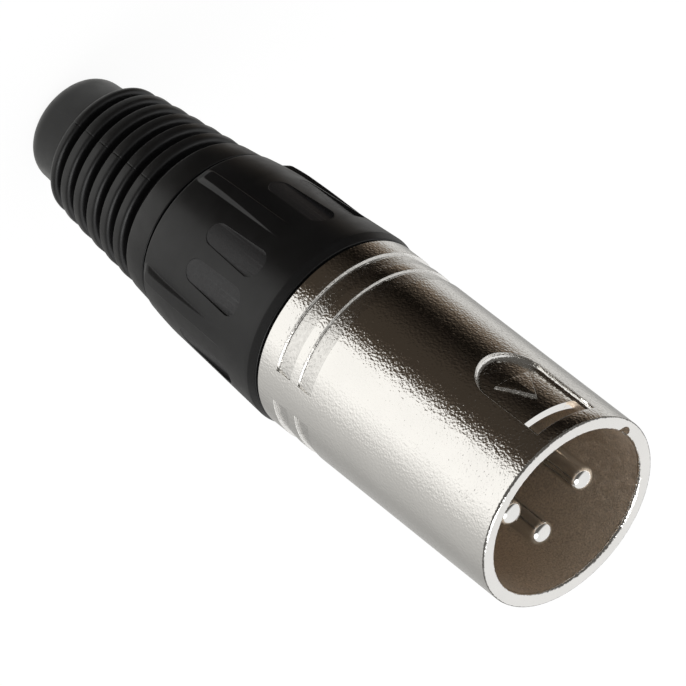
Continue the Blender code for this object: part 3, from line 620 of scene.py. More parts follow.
METAL = {"Metallic": 1.0}
FINISHES = {
    # Satin plating: an even orange peel with a finer grain on it, a little uneven in gloss.
    "satin_nickel": Recipe(
        "plating", "plating_roughness",
        (((0.6, 1.0), 0.008), ((0.3,), 0.016), ((0.2, 1.0), 0.03)),
        ((1.6, 3.0), 0.8, 1.25), ((4.0, 2.0), 0.96), inputs=METAL),
    # The same plating where its soft edges are rubbed: paler and less glossy.
    "rubbed_nickel": Recipe(
        "plating", "matt_roughness", (((0.15, 2.0, 0.6), 0.012),),
        ((0.4, 2.0), 0.84, 1.2), ((1.0, 2.0), 0.98), 1.08, inputs=METAL),
    # Plating inside the mouth, matt over the blasted casting, and warmer and darker than outside:
    # painted shade in the mouth.
    "blasted_nickel": Recipe(
        "inner_plating", "matt_roughness", (((0.13, 2.0, 0.6), 0.02),),
        ((0.5, 2.0), 0.84, 1.12), ((0.16, 1.0), 0.7), inputs=METAL),
    # The finger grooves' floors: rougher and coarser in grain than the rest of the plating, and
    # darker, which is painted shade in the grooves.
    "grained_nickel": Recipe(
        "plating", "plating_roughness", (((0.3,), 0.02), ((0.22, 2.0, 0.6), 0.045)),
        ((0.5, 2.0), 1.0, 2.0), ((0.3, 1.0), 0.75), 0.9, 1.2, METAL),
    # Bright plating with the fine rings that turning leaves.
    "pin_plate": Recipe(
        "pin_plating", "pin_roughness", (((0.08, 1.0, 0.5, (0.15, 0.15, 1.0)), 0.0006),),
        ((0.5, 2.0), 0.8, 1.6), ((1.2, 2.0), 0.95), inputs=METAL),
    # Satin black plastic with the mould's fine grain.
    "nut_plastic": Recipe(
        "nut_plastic", "nut_roughness", (((0.12, 2.0, 0.6), 0.004),),
        ((1.5, 3.0), 0.9, 1.15), ((2.5, 3.0), 1.35), inputs={"Specular IOR Level": 0.4}),
    # The thumb pads' floor, blasted coarser than the nut.
    "pad_plastic": Recipe(
        "pad_plastic", "nut_roughness", (((0.14,), 0.006),),
        ((0.3, 2.0), 1.1, 1.4), ((0.12, 1.0), 1.7), 1.0, 1.3, {"Specular IOR Level": 0.55}),
    # Matt black rubber, faintly cloudy.
    "boot_rubber": Recipe(
        "boot_rubber", "boot_roughness", (((0.14, 3.0, 0.65), 0.005),),
        ((1.2, 3.0), 0.88, 1.15), ((2.0, 4.0), 1.5),
        inputs={"Specular IOR Level": 0.5, "Sheen Weight": 0.05, "Sheen Roughness": 0.3,
                "Sheen Tint": (1.0, 0.95, 0.88, 1)}),
    # Black moulded insulator with a fine matt face.
    "insert_plastic": Recipe(
        "insulator", "insulator_roughness", (((0.12,), 0.006),),
        ((0.8, 2.0), 0.84, 1.2), ((1.5, 2.0), 1.5)),
    # Natural milky plastic with soft flow marks.
    "chuck_plastic": Recipe(
        "chuck_plastic", "chuck_roughness", (((0.3, 2.0), 0.004),),
        ((1.0, 2.0), 0.857, 1.19), ((3.0, 2.0, 0.5, (1.0, 1.0, 0.4)), 0.93),
        inputs={"Subsurface Weight": 0.15, "Subsurface Scale": 0.6 * MM}),
    # Rolled spring metal with lengthwise marks.
    "spring_strip": Recipe(
        "strip_metal", "strip_roughness", (((0.1, 2.0, 0.6, (1.0, 1.0, 0.06)), 0.002),),
        ((0.6, 2.0), 0.786, 1.357), ((0.9, 2.0), 0.85), inputs=METAL),
}


def finished(name):
    """Make one of the finishes."""
    recipe = FINISHES[name]
    colour = getattr(settings("plug_colours"), recipe.colour)
    roughness = getattr(settings("plug_colours"), recipe.roughness)
    finish = Finish(name, scaled(colour, recipe.tone), roughness * recipe.dullness,
                    recipe.inputs)
    for pattern, depth in recipe.bumps:
        finish.relief(finish.pattern(*pattern), depth)
    finish.feed(finish.shader.inputs["Normal"], finish.normal)
    pattern, low, high = recipe.gloss
    finish.gloss(finish.pattern(*pattern), roughness * low, roughness * high)
    pattern, factor = recipe.shade
    finish.shade(finish.pattern(*pattern), scaled(colour, factor))
    return finish.owner


# Shell.

def shell_profile(s):
    """Half section of the shell, from the rim outwards and back through the bore."""
    outer = s.mouth_radius + s.wall
    bore = s.mouth_radius - s.bore_step
    spigot = bore + s.spigot_wall
    root = spigot - s.relief_depth
    lip = bore - s.flange_height
    relief_z = SHOULDER_Z - s.relief_length
    step_z = SHOULDER_Z + s.groove_from_shoulder
    soft = s.soft_edge
    chamfer = s.mouth_chamfer
    return [
        *corner(s.mouth_radius, MOUTH_Z, chamfer, 180, 90, 5),
        *corner(outer, MOUTH_Z, s.edge, 90, 0, 7),
        (outer, step_z + s.groove_length),
        (SHELL_REAR_RADIUS, step_z),
        *corner(SHELL_REAR_RADIUS, SHOULDER_Z, soft, 0, -90, 3),
        (root, SHOULDER_Z),
        (root, relief_z),
        (spigot, relief_z - s.relief_depth),
        (spigot, SPIGOT_END_Z + s.spigot_chamfer),
        (spigot - s.spigot_chamfer, SPIGOT_END_Z),
        (bore, SPIGOT_END_Z),
        (bore, INSERT_FACE_Z - s.flange_thickness),
        (lip, INSERT_FACE_Z - s.flange_thickness),
        *corner(lip, INSERT_FACE_Z, soft, 180, 90, 3),
        (s.mouth_radius, INSERT_FACE_Z),
    ]


def soft_edge_levels(soft):
    """Levels of a cut's rounded upper edge, from outside the surface down to its wall.

    Insets are counted from the wall. The first levels stand clear of the surface, and the
    round begins a little below it, so that it crosses the surface cleanly.
    """
    turns = [math.radians(angle) for angle in (20, 45, 70, 90)]
    return [(-1.6 * soft, -OVERSHOOT), (-1.6 * soft, -0.3 * soft),
            *[(-soft + soft * math.sin(turn), soft - soft * math.cos(turn)) for turn in turns]]


def grown(outline, amount):
    """An outline pushed outwards, corner by corner. It turns anticlockwise."""
    made = []
    for index, point in enumerate(outline):
        here = Vector(point)
        before = (here - Vector(outline[index - 1])).normalized()
        after = (Vector(outline[(index + 1) % len(outline)]) - here).normalized()
        normal_before = Vector((before.y, -before.x))
        normal_after = Vector((after.y, -after.x))
        mitre = (normal_before + normal_after).normalized()
        made.append(here + mitre * (amount / max(0.3, mitre.dot(normal_before))))
    return [tuple(point) for point in made]


def sunk(outline, levels):
    """Tool for a sunk shape. The insets of its levels are counted from the outline."""
    first = levels[0][0]
    return stepped(grown(outline, -first), [(inset - first, depth) for inset, depth in levels])


def latch_slot(s):
    """Tool for the slot that goes through the wall, between the recess's hollow sides."""
    top = MOUTH_Z - s.slot_from_mouth - 0.4 * s.soft_edge
    low = MOUTH_Z - s.slot_from_mouth - s.slot_length
    half = s.window_half_width - s.recess_cove
    outline = [(-half, low), (half, low), (half, top), (-half, top)]
    bm = stepped(outline, [(0, -OVERSHOOT), (0, s.wall + OVERSHOOT / 2)])
    in_strips(bm, half, STRIP)
    return round_surface(bm, s.mouth_radius + s.wall)


def latch_recess(s):
    """Tool for the arched recess with its hollow walls."""
    outer = s.mouth_radius + s.wall
    soft = s.soft_edge
    half = s.window_half_width
    top = MOUTH_Z - s.slot_from_mouth
    arch_z = top - s.slot_length - s.recess_length + half
    arch = arc((0, arch_z), half, 180, 360, 56)
    outline = [*arch, (half, top), (-half, top)]
    turns = [math.radians(angle) for angle in (15, 30, 45, 60, 75, 90)]
    cove = [(s.recess_cove * (1 - math.cos(turn)),
             soft + (s.recess_depth - soft) * math.sin(turn)) for turn in turns]
    bm = sunk(outline, soft_edge_levels(soft) + cove)
    in_strips(bm, half + 2 * soft, STRIP)
    return mark_band(round_surface(bm, outer), outer, -0.2 * soft, 0.8 * soft)


def latch_arrow(s):
    """The raised arrow, from inside the wall to its crest over the recess's floor."""
    outer = s.mouth_radius + s.wall
    tip = MOUTH_Z - s.arrow_from_mouth
    outline = [(0, tip), (-s.arrow_half_width, tip - s.arrow_length),
               (s.arrow_half_width, tip - s.arrow_length)]
    crest = s.recess_depth - s.arrow_height
    slope = s.arrow_slope
    edge = s.arrow_edge
    levels = [(0, s.recess_depth + s.arrow_height), (0, s.recess_depth + 0.02 * MM),
              (slope - 0.7 * edge, crest + edge), (slope - 0.2 * edge, crest + 0.25 * edge),
              (slope + 0.6 * edge, crest)]
    bm = stepped(grown(outline, slope / 2), levels)
    in_strips(bm, s.arrow_half_width + slope, ARROW_STRIP)
    return mark_band(round_surface(bm, outer), outer, crest + 0.02 * edge, crest + edge)


def finger_groove(s, index, side):
    """Tool for half a finger groove: a rounded step at the rear and a ramp to the front."""
    outer = s.mouth_radius + s.wall
    floor = outer - s.groove_depth
    step_z = SHOULDER_Z + s.groove_from_shoulder + index * s.groove_pitch
    surface = SHELL_REAR_RADIUS if index == 0 else outer
    soft = s.soft_edge
    outside = outer + OVERSHOOT
    section = [
        (outside, step_z - soft),
        (surface + 0.002 * MM, step_z - soft),
        *corner(surface, step_z, soft, 15, 90, 3),
        (floor + soft, step_z),
        *corner(floor, step_z, soft, 270, 180, 3)[1:],
        (outer, step_z + s.groove_length),
        (outer + 0.05 * MM, step_z + s.groove_length + 0.05 * MM),
        (outside, step_z + s.groove_length + 0.05 * MM),
    ]
    bm = swept(section, math.pi - GROOVE_BRIDGE_ANGLE, SHELL_STEPS // 2)
    for face in bm.faces:
        middle = face.calc_center_median()
        radius = math.hypot(middle.x, middle.y)
        if surface - soft < radius < surface and middle.z < step_z - 0.01 * soft:
            face.material_index = 1
        elif radius < outer and middle.z > step_z:
            # The ramp's floor takes the darker plating: painted shade in the groove.
            face.material_index = 3
    return turn_to(bm, GROOVE_BRIDGE_ANGLE / 2 + math.pi * side)


def keyway(s):
    """Tool for the half-round keyway down the mouth's wall."""
    bm = bmesh.new()
    bmesh.ops.create_cone(bm, cap_ends=True, segments=KEYWAY_STEPS, radius1=s.keyway_radius,
                          radius2=s.keyway_radius, depth=s.keyway_length + OVERSHOOT)
    bmesh.ops.translate(bm, verts=bm.verts, vec=(
        0, -s.mouth_radius, MOUTH_Z + (OVERSHOOT - s.keyway_length) / 2))
    return turn_to(bm, KEYWAY_ANGLE)


def make_shell():
    """Plated shell with its latch window, finger grooves and keyway."""
    s = settings("plug_shell")
    bm = turned(shell_profile(s), (FULL_TURN, SHELL_STEPS))
    shell = as_object(turn_to(bm, HALF_STEP), "plated_shell")
    half_slot = s.key_width / 2 + CLEARANCE
    reach = KEY_RADIUS + CLEARANCE
    key_slots = block((-reach, -half_slot, SPIGOT_END_Z - OVERSHOOT),
                      (reach, half_slot, INSERT_FACE_Z - s.flange_thickness))
    grooves = [(finger_groove(s, index, side), "DIFFERENCE")
               for index in range(GROOVE_COUNT) for side in (0, 1)]
    # The groove finish is darker than the others: painted shade in the grooves.
    finishes = [finished(name + "_nickel") for name in ("satin", "rubbed", "blasted", "grained")]
    shaped(shell, [(latch_recess(s), "DIFFERENCE"), (latch_arrow(s), "UNION"),
                   (latch_slot(s), "DIFFERENCE"), *grooves, (keyway(s), "DIFFERENCE"),
                   (key_slots, "DIFFERENCE")], finishes)
    reach = s.mouth_radius + s.keyway_radius
    # Faces inside the mouth take the browner, darker plating: painted shade.
    for polygon in shell.data.polygons:
        outwards = Vector((polygon.center.x, polygon.center.y, 0))
        inside = (polygon.normal.dot(outwards.normalized()) < INSIDE_TURN
                  and outwards.length < reach)
        if inside and INSERT_FACE_Z < polygon.center.z < MOUTH_Z - s.mouth_chamfer:
            polygon.material_index = 2
    dress(shell, "plug_shell", finishes, ["shell"])


def thread(foot, crest, width, pitch, start, turns):
    """Helical ridge between two radii, with flat ends."""
    top = width * THREAD_CREST
    section = [(foot, start - width / 2), (crest, start - top / 2), (crest, start + top / 2),
               (foot, start + width / 2)]
    return swept(section, FULL_TURN * turns, round(THREAD_STEPS * turns), pitch * turns)


def make_spigot_thread():
    """Thread on the spigot, under the nut until it is unscrewed."""
    s = settings("plug_shell")
    radius = s.mouth_radius - s.bore_step + s.spigot_wall
    start = SPIGOT_END_Z + s.spigot_chamfer + s.thread_width
    room = SHOULDER_Z - s.relief_length - s.relief_depth - s.thread_width - start
    bm = thread(radius - s.thread_root, radius + s.thread_height, s.thread_width, s.thread_pitch,
                start, room / s.thread_pitch)
    dress(as_object(bm, "spigot_thread"), "plug_shell",
          [bpy.data.materials["satin_nickel"]])


# Contacts and their insulator.

def make_insert():
    """Insulator block with its pin holes, skirt, keys and the spring strip's pocket."""
    s = settings("plug_contacts")
    shell = settings("plug_shell")
    nose = shell.mouth_radius - shell.bore_step - shell.flange_height - CLEARANCE
    body = shell.mouth_radius - shell.bore_step - CLEARANCE
    seat_z = INSERT_FACE_Z - shell.flange_thickness - CLEARANCE
    rear_z = seat_z - s.insert_length
    edge = s.face_edge
    profile = [
        (0, INSERT_FACE_Z),
        *corner(nose, INSERT_FACE_Z, edge, 90, 0),
        (nose, seat_z),
        (body, seat_z),
        (body, SKIRT_END_Z),
        (body - s.skirt_wall, SKIRT_END_Z),
        (body - s.skirt_wall, rear_z),
        (0, rear_z),
    ]
    insert = as_object(turned(profile, (FULL_TURN, INSERT_STEPS), closed=False), "insulator")
    overlap = s.skirt_wall / 2
    steps = [(block((side * (body - overlap), -shell.key_width / 2, SKIRT_END_Z),
                    (side * KEY_RADIUS, shell.key_width / 2, seat_z)), "UNION")
             for side in (-1, 1)]
    half = s.pocket_width / 2
    steps.append((block((-half, -body - OVERSHOOT, SKIRT_END_Z - OVERSHOOT),
                        (half, -body + s.pocket_depth, seat_z - s.pocket_wall)), "DIFFERENCE"))
    step_z = INSERT_FACE_Z - s.collar_depth + CLEARANCE
    hole = [
        (0, INSERT_FACE_Z + OVERSHOOT),
        (s.radius + CLEARANCE, INSERT_FACE_Z + OVERSHOOT),
        (s.radius + CLEARANCE, step_z),
        (s.collar_radius + CLEARANCE, step_z),
        (s.collar_radius + CLEARANCE, rear_z - OVERSHOOT),
        (0, rear_z - OVERSHOOT),
    ]
    for name in PIN_NODES:
        bm = turned(hole, (FULL_TURN, PIN_STEPS), closed=False)
        bmesh.ops.translate(bm, verts=bm.verts, vec=pin_axis(name))
        steps.append((bm, "DIFFERENCE"))
    shaped(insert, steps)
    dress(insert, "plug_shell", [finished("insert_plastic")], ["insert"])


def pin_axis(name):
    """Where a pin's own axis stands."""
    low, high = PIN_BOXES[name]
    return Vector(((low.x + high.x) / 2, (low.y + high.y) / 2, 0))


def make_pin(name, finish):
    """Turned contact: domed tip, shaft, seating collar and a scooped solder cup."""
    s = settings("plug_contacts")
    low, high = PIN_BOXES[name]
    tip = high.z
    collar_top = INSERT_FACE_Z - s.collar_depth
    cup_end = low.z
    cup_top = cup_end + s.cup_length
    power = 2 / s.dome_fullness
    dome = [(s.radius * x ** power, tip - s.dome + s.dome * y ** power)
            for x, y in arc((0, 0), 1, 90, 0, 18) if x > 0 and y > 1e-9]
    profile = [
        (0, tip),
        *[point for point in dome if point[0] > 0.02 * MM],
        (s.radius, tip - s.dome),
        (s.radius, collar_top),
        (s.collar_radius, collar_top),
        (s.collar_radius, collar_top - s.collar_length),
        (s.radius, collar_top - s.collar_length),
        (s.radius, cup_top),
        (s.cup_radius, cup_top),
        (s.cup_radius, cup_end),
        (s.cup_bore_radius, cup_end),
        (s.cup_bore_radius, cup_end + s.cup_bore_depth),
        (0, cup_end + s.cup_bore_depth),
    ]
    pin = as_object(turned(profile, (FULL_TURN, PIN_STEPS), closed=False),
                    "contact_" + name[-1])
    reach = s.cup_radius + OVERSHOOT
    scoop = block((-reach, 0, cup_end - OVERSHOOT), (reach, reach, cup_end + s.scoop_length))
    axis = pin_axis(name)
    outwards = math.atan2(axis.y, axis.x)
    shaped(pin, [(turn_to(scoop, outwards - math.pi / 2), "DIFFERENCE")])
    pin.data.transform(Matrix.Translation(axis))
    dress(pin, "plug_shell", [finish], [name])


def make_pins():
    """The three pins, all in one finish."""
    finish = finished("pin_plate")
    for name in PIN_NODES:
        make_pin(name, finish)


# Grip nut.

def nut_radius(s, height):
    """The nut's outer radius without its grips: a taper, then a rounded rear."""
    edge_z = NUT_FRONT_Z - s.chamfer_length
    shoulder_z = NUT_FRONT_Z - s.shoulder_from_front
    if height >= edge_z:
        return NUT_RADIUS - s.chamfer_depth * (height - edge_z) / s.chamfer_length
    if height >= shoulder_z:
        return NUT_RADIUS - s.taper * (edge_z - height) / (edge_z - shoulder_z)
    along = (shoulder_z - height) / (shoulder_z - NUT_REAR_Z)
    return NUT_RADIUS - s.taper - s.shoulder_drop * along ** NUT_SHOULDER_POWER


def soft_minimum(first, second, blend):
    """The smaller of two values, rounded off where they are nearly equal."""
    gap = max(0.0, blend - abs(first - second)) / blend
    return min(first, second) - gap ** 2 * blend / 4


def ridge_rise(s, aside, height):
    """How far a ridge stands over the nut at a place beside its middle line."""
    beside = (s.ridge_width / 2 - abs(aside)) * RIDGE_SLOPE
    behind = (height - NUT_REAR_Z - s.ridge_from_rear) * RIDGE_END_SLOPE
    flank = soft_minimum(beside, behind, s.ridge_corner)
    top = NUT_RADIUS - s.ridge_top_below_edge - nut_radius(s, height)
    crest = soft_minimum(top, s.ridge_height, s.crest_blend)
    return -soft_minimum(-soft_minimum(flank, crest, s.ridge_blend), 0, s.ridge_blend)


def pushed_out(bm, rise_at):
    """Move each vertex outwards by the rise at its radius, its angle and its height."""
    for vert in bm.verts:
        radius = math.hypot(vert.co.x, vert.co.y)
        factor = 1 + rise_at(radius, math.atan2(vert.co.x, -vert.co.y), vert.co.z) / radius
        vert.co.x *= factor
        vert.co.y *= factor
    return bm


def grip_rise(s, radius, angle, height):
    """How far the grips raise a place on the nut. Inside, nothing rises."""
    plain = nut_radius(s, height)
    if radius < plain - ON_SURFACE:
        return 0
    spacing = FULL_TURN / GRIP_SETS
    away = (angle - RIDGE_ANGLE + spacing / 2) % spacing - spacing / 2
    return ridge_rise(s, plain * away, height)


def nut_profile(s, boot):
    """Half section of the nut, outside from the rear to the front, then back inside."""
    bore = NUT_RADIUS - s.wall
    cone = bore - s.cone_rise
    neck_hole = cone - boot.lip_height
    cone_base = LIP_TOP_Z + CLEARANCE
    cone_top = SPIGOT_END_Z - s.cone_behind_spigot
    soft = s.front_edge
    front = NUT_RADIUS - s.chamfer_depth
    rear = nut_radius(s, NUT_REAR_Z)
    pitch = s.ring_pitch / FINENESS
    edge_z = NUT_FRONT_Z - s.chamfer_length
    rings = [NUT_REAR_Z + soft]
    while rings[-1] < edge_z - 1.6 * pitch:
        shoulder = rings[-1] < NUT_FRONT_Z - s.shoulder_from_front
        rings.append(rings[-1] + (pitch if shoulder else 3 * pitch))
    rings += [edge_z, NUT_FRONT_Z - soft]
    return [
        *corner(rear, NUT_REAR_Z, soft, -90, 0, 3)[:-1],
        *[(nut_radius(s, height), height) for height in rings[:-1]],
        *corner(front, NUT_FRONT_Z, soft, 0, 90, 3),
        (bore + soft, NUT_FRONT_Z),
        (bore, NUT_FRONT_Z - soft),
        (bore, cone_top),
        (cone, cone_base),
        (cone, NUT_REAR_Z + s.rear_wall),
        (neck_hole, NUT_REAR_Z + s.rear_wall),
        (neck_hole, NUT_REAR_Z),
    ]


def thumb_pad(s):
    """Tool for a pad: round in front, with a round floor that runs out at the rear."""
    front_z = NUT_FRONT_Z - s.pad_from_front
    rear_z = front_z - s.pad_length
    half = s.pad_width / 2
    rear = s.pad_rear_width / 2
    outline = [*corner(half, front_z, s.pad_corner, 0, 90, 14),
               *corner(-half, front_z, s.pad_corner, 90, 180, 14),
               *arc((0, rear_z + rear), rear, 180, 360, 20)]
    floor = nut_radius(s, front_z) - s.pad_depth
    slope = (floor + s.pad_rear_depth - nut_radius(s, rear_z)) / s.pad_length
    draft = s.pad_draft * OVERSHOOT / s.pad_depth
    fillet = s.pad_fillet
    levels = [(0, -OVERSHOOT), (draft - 0.7 * fillet, -fillet), (draft, -0.3 * fillet),
              (draft + 0.7 * fillet, 0)]
    bm = stepped(grown(outline, draft - s.pad_draft / 2), levels)
    for vert in bm.verts:
        vert.co.y += slope * (front_z - vert.co.z)
    in_strips(bm, half + draft, STRIP)
    round_surface(bm, floor)
    for face in bm.faces:
        outwards = Vector((face.calc_center_median().x, face.calc_center_median().y, 0))
        face.material_index = 1 if face.normal.dot(outwards.normalized()) < PAD_FLOOR_TURN else 0
    return bm


def make_nut():
    """Grip nut with soft ridges and sunk thumb pads."""
    s = settings("plug_nut")
    spacing = FULL_TURN / GRIP_SETS
    parts = [(RIDGE_ZONE, RIDGE_STEPS), (spacing - RIDGE_ZONE, BETWEEN_RIDGES_STEPS)]
    bm = turned(nut_profile(s, settings("plug_boot")), *parts * GRIP_SETS)
    turn_to(bm, RIDGE_ANGLE - math.pi / 2 - RIDGE_ZONE / 2)
    nut = as_object(pushed_out(bm, partial(grip_rise, s)), "nut_with_grips")
    finishes = [finished("nut_plastic"), finished("pad_plastic")]
    pads = [turn_to(thumb_pad(s), RIDGE_ANGLE + spacing * (index + side / 3))
            for index in range(GRIP_SETS) for side in (-1, 1)]
    shaped(nut, [(gather(pads), "DIFFERENCE")], finishes)
    dress(nut, "nut_and_boot", finishes, ["grip_nut"])


def make_nut_thread():
    """Thread inside the nut, half a pitch away from the spigot's."""
    s = settings("plug_nut")
    shell = settings("plug_shell")
    bore = NUT_RADIUS - s.wall
    start = SPIGOT_END_Z + shell.spigot_chamfer + shell.thread_width + shell.thread_pitch / 2
    room = SHOULDER_Z - shell.relief_length - shell.thread_width - start
    bm = thread(bore + shell.thread_root, bore - shell.thread_height, shell.thread_width,
                shell.thread_pitch, start, room / shell.thread_pitch)
    dress(as_object(bm, "nut_thread"), "nut_and_boot",
          [bpy.data.materials["nut_plastic"]])


# Boot.

def boot_profile(s, nut):
    """Half section of the boot: nose, ribs that grow towards the nut, collar, neck and lip."""
    lip = NUT_RADIUS - nut.wall - nut.cone_rise - CLEARANCE
    neck = lip - s.lip_height
    collar_top = nut_radius(nut, NUT_REAR_Z) - s.collar_step
    collar = collar_top - s.collar_flare
    first = collar - s.first_rib_step
    nose = s.cable_radius + s.nose_wall
    last = nose + s.last_rib_rise
    collar_base_z = s.nose_length + RIB_COUNT * s.rib_pitch
    collar_top_z = collar_base_z + s.collar_length
    lip_base_z = LIP_TOP_Z - s.lip_thickness
    soft = s.small_edge
    edge = s.collar_edge
    foot = s.rib_edge * RIB_FOOT
    profile = [
        *corner(s.cable_radius, BOOT_END_Z, soft, 180, 270, 3),
        *corner(nose - s.nose_taper, BOOT_END_Z, s.nose_edge, -90, 0, 12),
    ]
    for index in range(RIB_COUNT):
        crest = last + (first - last) * (index / (RIB_COUNT - 1)) ** RIB_SWELL_POWER
        low = s.nose_length + index * s.rib_pitch
        high = low + s.rib_width
        rear = s.rib_edge * (RIB_REAR if index else LAST_RIB_REAR)
        front = s.rib_edge * RIB_FRONT
        if index:
            profile += corner(crest - s.rib_depth, low, foot, 180, 90)
        else:
            low += s.last_rib_inset
            profile.append((nose, low))
        profile += [
            *corner(crest, low, rear, -90, 0),
            *corner(crest, high, front, 0, 90, 6),
            *corner(crest - s.rib_depth, high, foot, 270, 180),
        ]
    profile += [
        *corner(first - s.rib_depth, collar_base_z, foot, 180, 90),
        *corner(collar, collar_base_z, edge, -90, 0, 5),
        *corner(collar_top, collar_top_z, soft, 0, 90, 3),
        (neck, collar_top_z),
        (neck, lip_base_z),
        (lip, lip_base_z),
        (lip, LIP_TOP_Z),
        (neck - s.neck_wall, LIP_TOP_Z),
        (neck - s.neck_wall, collar_base_z),
        (s.cable_radius, BOOT_END_Z + s.cable_hole_length),
    ]
    return profile


def seam_rise(s, radius, angle, height):
    """The thin line, pressed in, that the mould's two halves leave across the ribs."""
    ribs_end_z = s.nose_length + RIB_COUNT * s.rib_pitch
    if radius < s.cable_radius + s.nose_wall or not s.nose_length < height < ribs_end_z:
        return 0
    aside = radius * abs((angle - SEAM_ANGLE + math.pi / 2) % math.pi - math.pi / 2)
    if aside >= s.seam_width / 2:
        return 0
    return -s.seam_depth * (1 + math.cos(FULL_TURN * aside / s.seam_width)) / 2


def make_boot():
    """Ribbed rubber boot."""
    s = settings("plug_boot")
    parts = [(SEAM_ZONE, SEAM_STEPS), (math.pi - SEAM_ZONE, HALF_BOOT_STEPS)]
    bm = turned(boot_profile(s, settings("plug_nut")), *parts * 2)
    turn_to(bm, SEAM_ANGLE - math.pi / 2 - SEAM_ZONE / 2)
    boot = as_object(pushed_out(bm, partial(seam_rise, s)), "rubber_boot")
    dress(boot, "nut_and_boot", [finished("boot_rubber")], ["boot"], even=False)


# Pieces that stay as their solids.

def dress_inner():
    """Give the chuck and the spring strip their finishes. Their own meshes stay."""
    for name, slot in (("chuck", "chuck_plastic"), ("ground_contact", "spring_strip")):
        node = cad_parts[name]
        node.data.materials.clear()
        node.data.materials.append(finished(slot))


# Stage.

def stage_object(bm, name, material):
    """A stage piece with its material."""
    made = as_object(bm, name)
    made.data.materials.append(material)
    return made


# Colours of the floor, of the card at the plug's foot and of the studio near the horizon. The
# large softbox hangs over and behind the plug, and its edge lies between two cosines.
WHITE = (1.0, 1.0, 1.0)
FLOOR_COLOUR = (0.93, 0.93, 0.93)
FLOOR_ROUGHNESS = 0.9
FOOT_COLOUR = (0.8, 0.8, 0.78)
HORIZON_COLOUR = (0.1, 0.095, 0.088)
SOFTBOX_COLOUR = (0.86, 0.86, 0.86)
SOFTBOX_DIRECTION = (-0.432, 0.477, 0.766)
SOFTBOX_EDGE = (0.2, 0.5)

# Distances from the axis where the card changes: from the foot's light, and to the horizon.
FOOT_EDGE = (10 * MM, 18 * MM)
HORIZON_EDGE = (150 * MM, 240 * MM)
CARD_LIFT = 0.05 * MM
CARD_STEPS = 96

# Brightness of the studio round the plug, as it shows in glossy reflections. Each entry is an
# angle in degrees from the window and a brightness: a dark screen stands on the camera's side.
STUDIO_ROUND = (
    (-150, 0.6), (-128, 0.5), (-112, 0.34), (-100, 0.45), (-86, 0.72), (-76, 0.5), (-64, 0.2),
    (-50, 0.04), (-34, 0.004), (-16, 0.02), (6, 0.045), (26, 0.045), (36, 0.1), (44, 1.05),
    (86, 1.1), (104, 0.86), (118, 0.6), (140, 0.5), (168, 0.38), (196, 0.44),
)
LIT_FROM = 0.3
LIT_TINT = (1, 0.99, 0.965)
DARK_TINT = (1, 0.78, 0.58)

# The camera as it was fitted to the photograph's outlines, and the lamp.
CAMERA_PLACE = (0.330577, -0.364165, 0.384138)
CAMERA_RIGHT = (-0.76140, -0.08048, 0.64327)
CAMERA_UP = (-0.34393, -0.79098, -0.50604)
CAMERA_CLIP = (0.01, 10)
LAMP_PLACE = (0.36, 0.12, 0.42)


def floor_material():
    """White floor: plain white to the camera and in reflections, with the plug's shadow."""
    s = settings("plug_studio")
    paper = Finish("floor_paper", FLOOR_COLOUR, FLOOR_ROUGHNESS, {"Specular IOR Level": 0.0})
    rays = paper.node("LightPath").outputs
    seen = paper.maths("MAXIMUM", rays["Is Camera Ray"], rays["Is Glossy Ray"])
    seen = paper.maths("MAXIMUM", seen, rays["Is Transmission Ray"])
    glow = paper.node("Emission", Strength=s.floor_glow)
    mix = paper.node("MixShader")
    part = paper.maths("MULTIPLY", seen, s.floor_glow_share)
    for socket, value in zip(mix.inputs, (part, paper.shader.outputs[0], glow.outputs[0])):
        paper.feed(socket, value)
    paper.feed(paper.tree.nodes["Material Output"].inputs["Surface"], mix.outputs[0])
    return paper.owner


def studio_ramp(card, place):
    """Brightness round the plug's axis at a point, as a colour."""
    split = card.node("SeparateXYZ", Vector=place).outputs
    turn = card.maths("ARCTAN2", split["X"], card.maths("MULTIPLY", split["Y"], -1.0))
    ramp = card.node("ValToRGB", Fac=card.maths("MULTIPLY_ADD", turn, 1 / FULL_TURN, 0.5))
    ramp.color_ramp.interpolation = "EASE"
    stops = sorted((((angle + 180) % 360) / 360, level) for angle, level in STUDIO_ROUND)
    elements = ramp.color_ramp.elements
    elements[0].position, elements[1].position = stops[0][0], stops[-1][0]
    for position, level in stops[1:-1]:
        elements.new(position)
    for element, (position, level) in zip(elements, stops):
        element.position = position
        colour = LIT_TINT if level > LIT_FROM else DARK_TINT
        element.color = (*(level * part for part in colour), 1)
    return ramp.outputs["Color"]


def card_material():
    """Card that only glossy reflections see: lit near the plug's foot, dark far away."""
    card = Nodes(bpy.data.materials.new("studio_card"))
    card.tree.nodes.remove(card.tree.nodes["Principled BSDF"])
    place = card.place()
    away = card.maths("LENGTH", place, kind="VectorMath")
    near = card.blended(card.ranged(away, FOOT_EDGE, how="SMOOTHSTEP"), FOOT_COLOUR,
                        studio_ramp(card, place))
    colour = card.blended(card.ranged(away, HORIZON_EDGE, how="SMOOTHSTEP"), near,
                          HORIZON_COLOUR)
    glow = card.node("Emission", Color=colour)
    card.feed(card.tree.nodes["Material Output"].inputs["Surface"], glow.outputs[0])
    return card.owner


def white_room():
    """World that is white to the camera. Reflections see it lit from behind and above."""
    room = Nodes(bpy.data.worlds.new("white_room"))
    towards = room.maths("DOT_PRODUCT", room.place(), SOFTBOX_DIRECTION, kind="VectorMath")
    mirrored = room.blended(room.ranged(towards, SOFTBOX_EDGE, how="SMOOTHSTEP"),
                            HORIZON_COLOUR, SOFTBOX_COLOUR)
    rays = room.node("LightPath").outputs
    plain = (settings("plug_studio").world_light,) * 3
    scattered = room.blended(rays["Is Glossy Ray"], plain, mirrored)
    colour = room.blended(rays["Is Camera Ray"], scattered, WHITE)
    room.feed(room.tree.nodes["Background"].inputs["Color"], colour)
    return room.owner


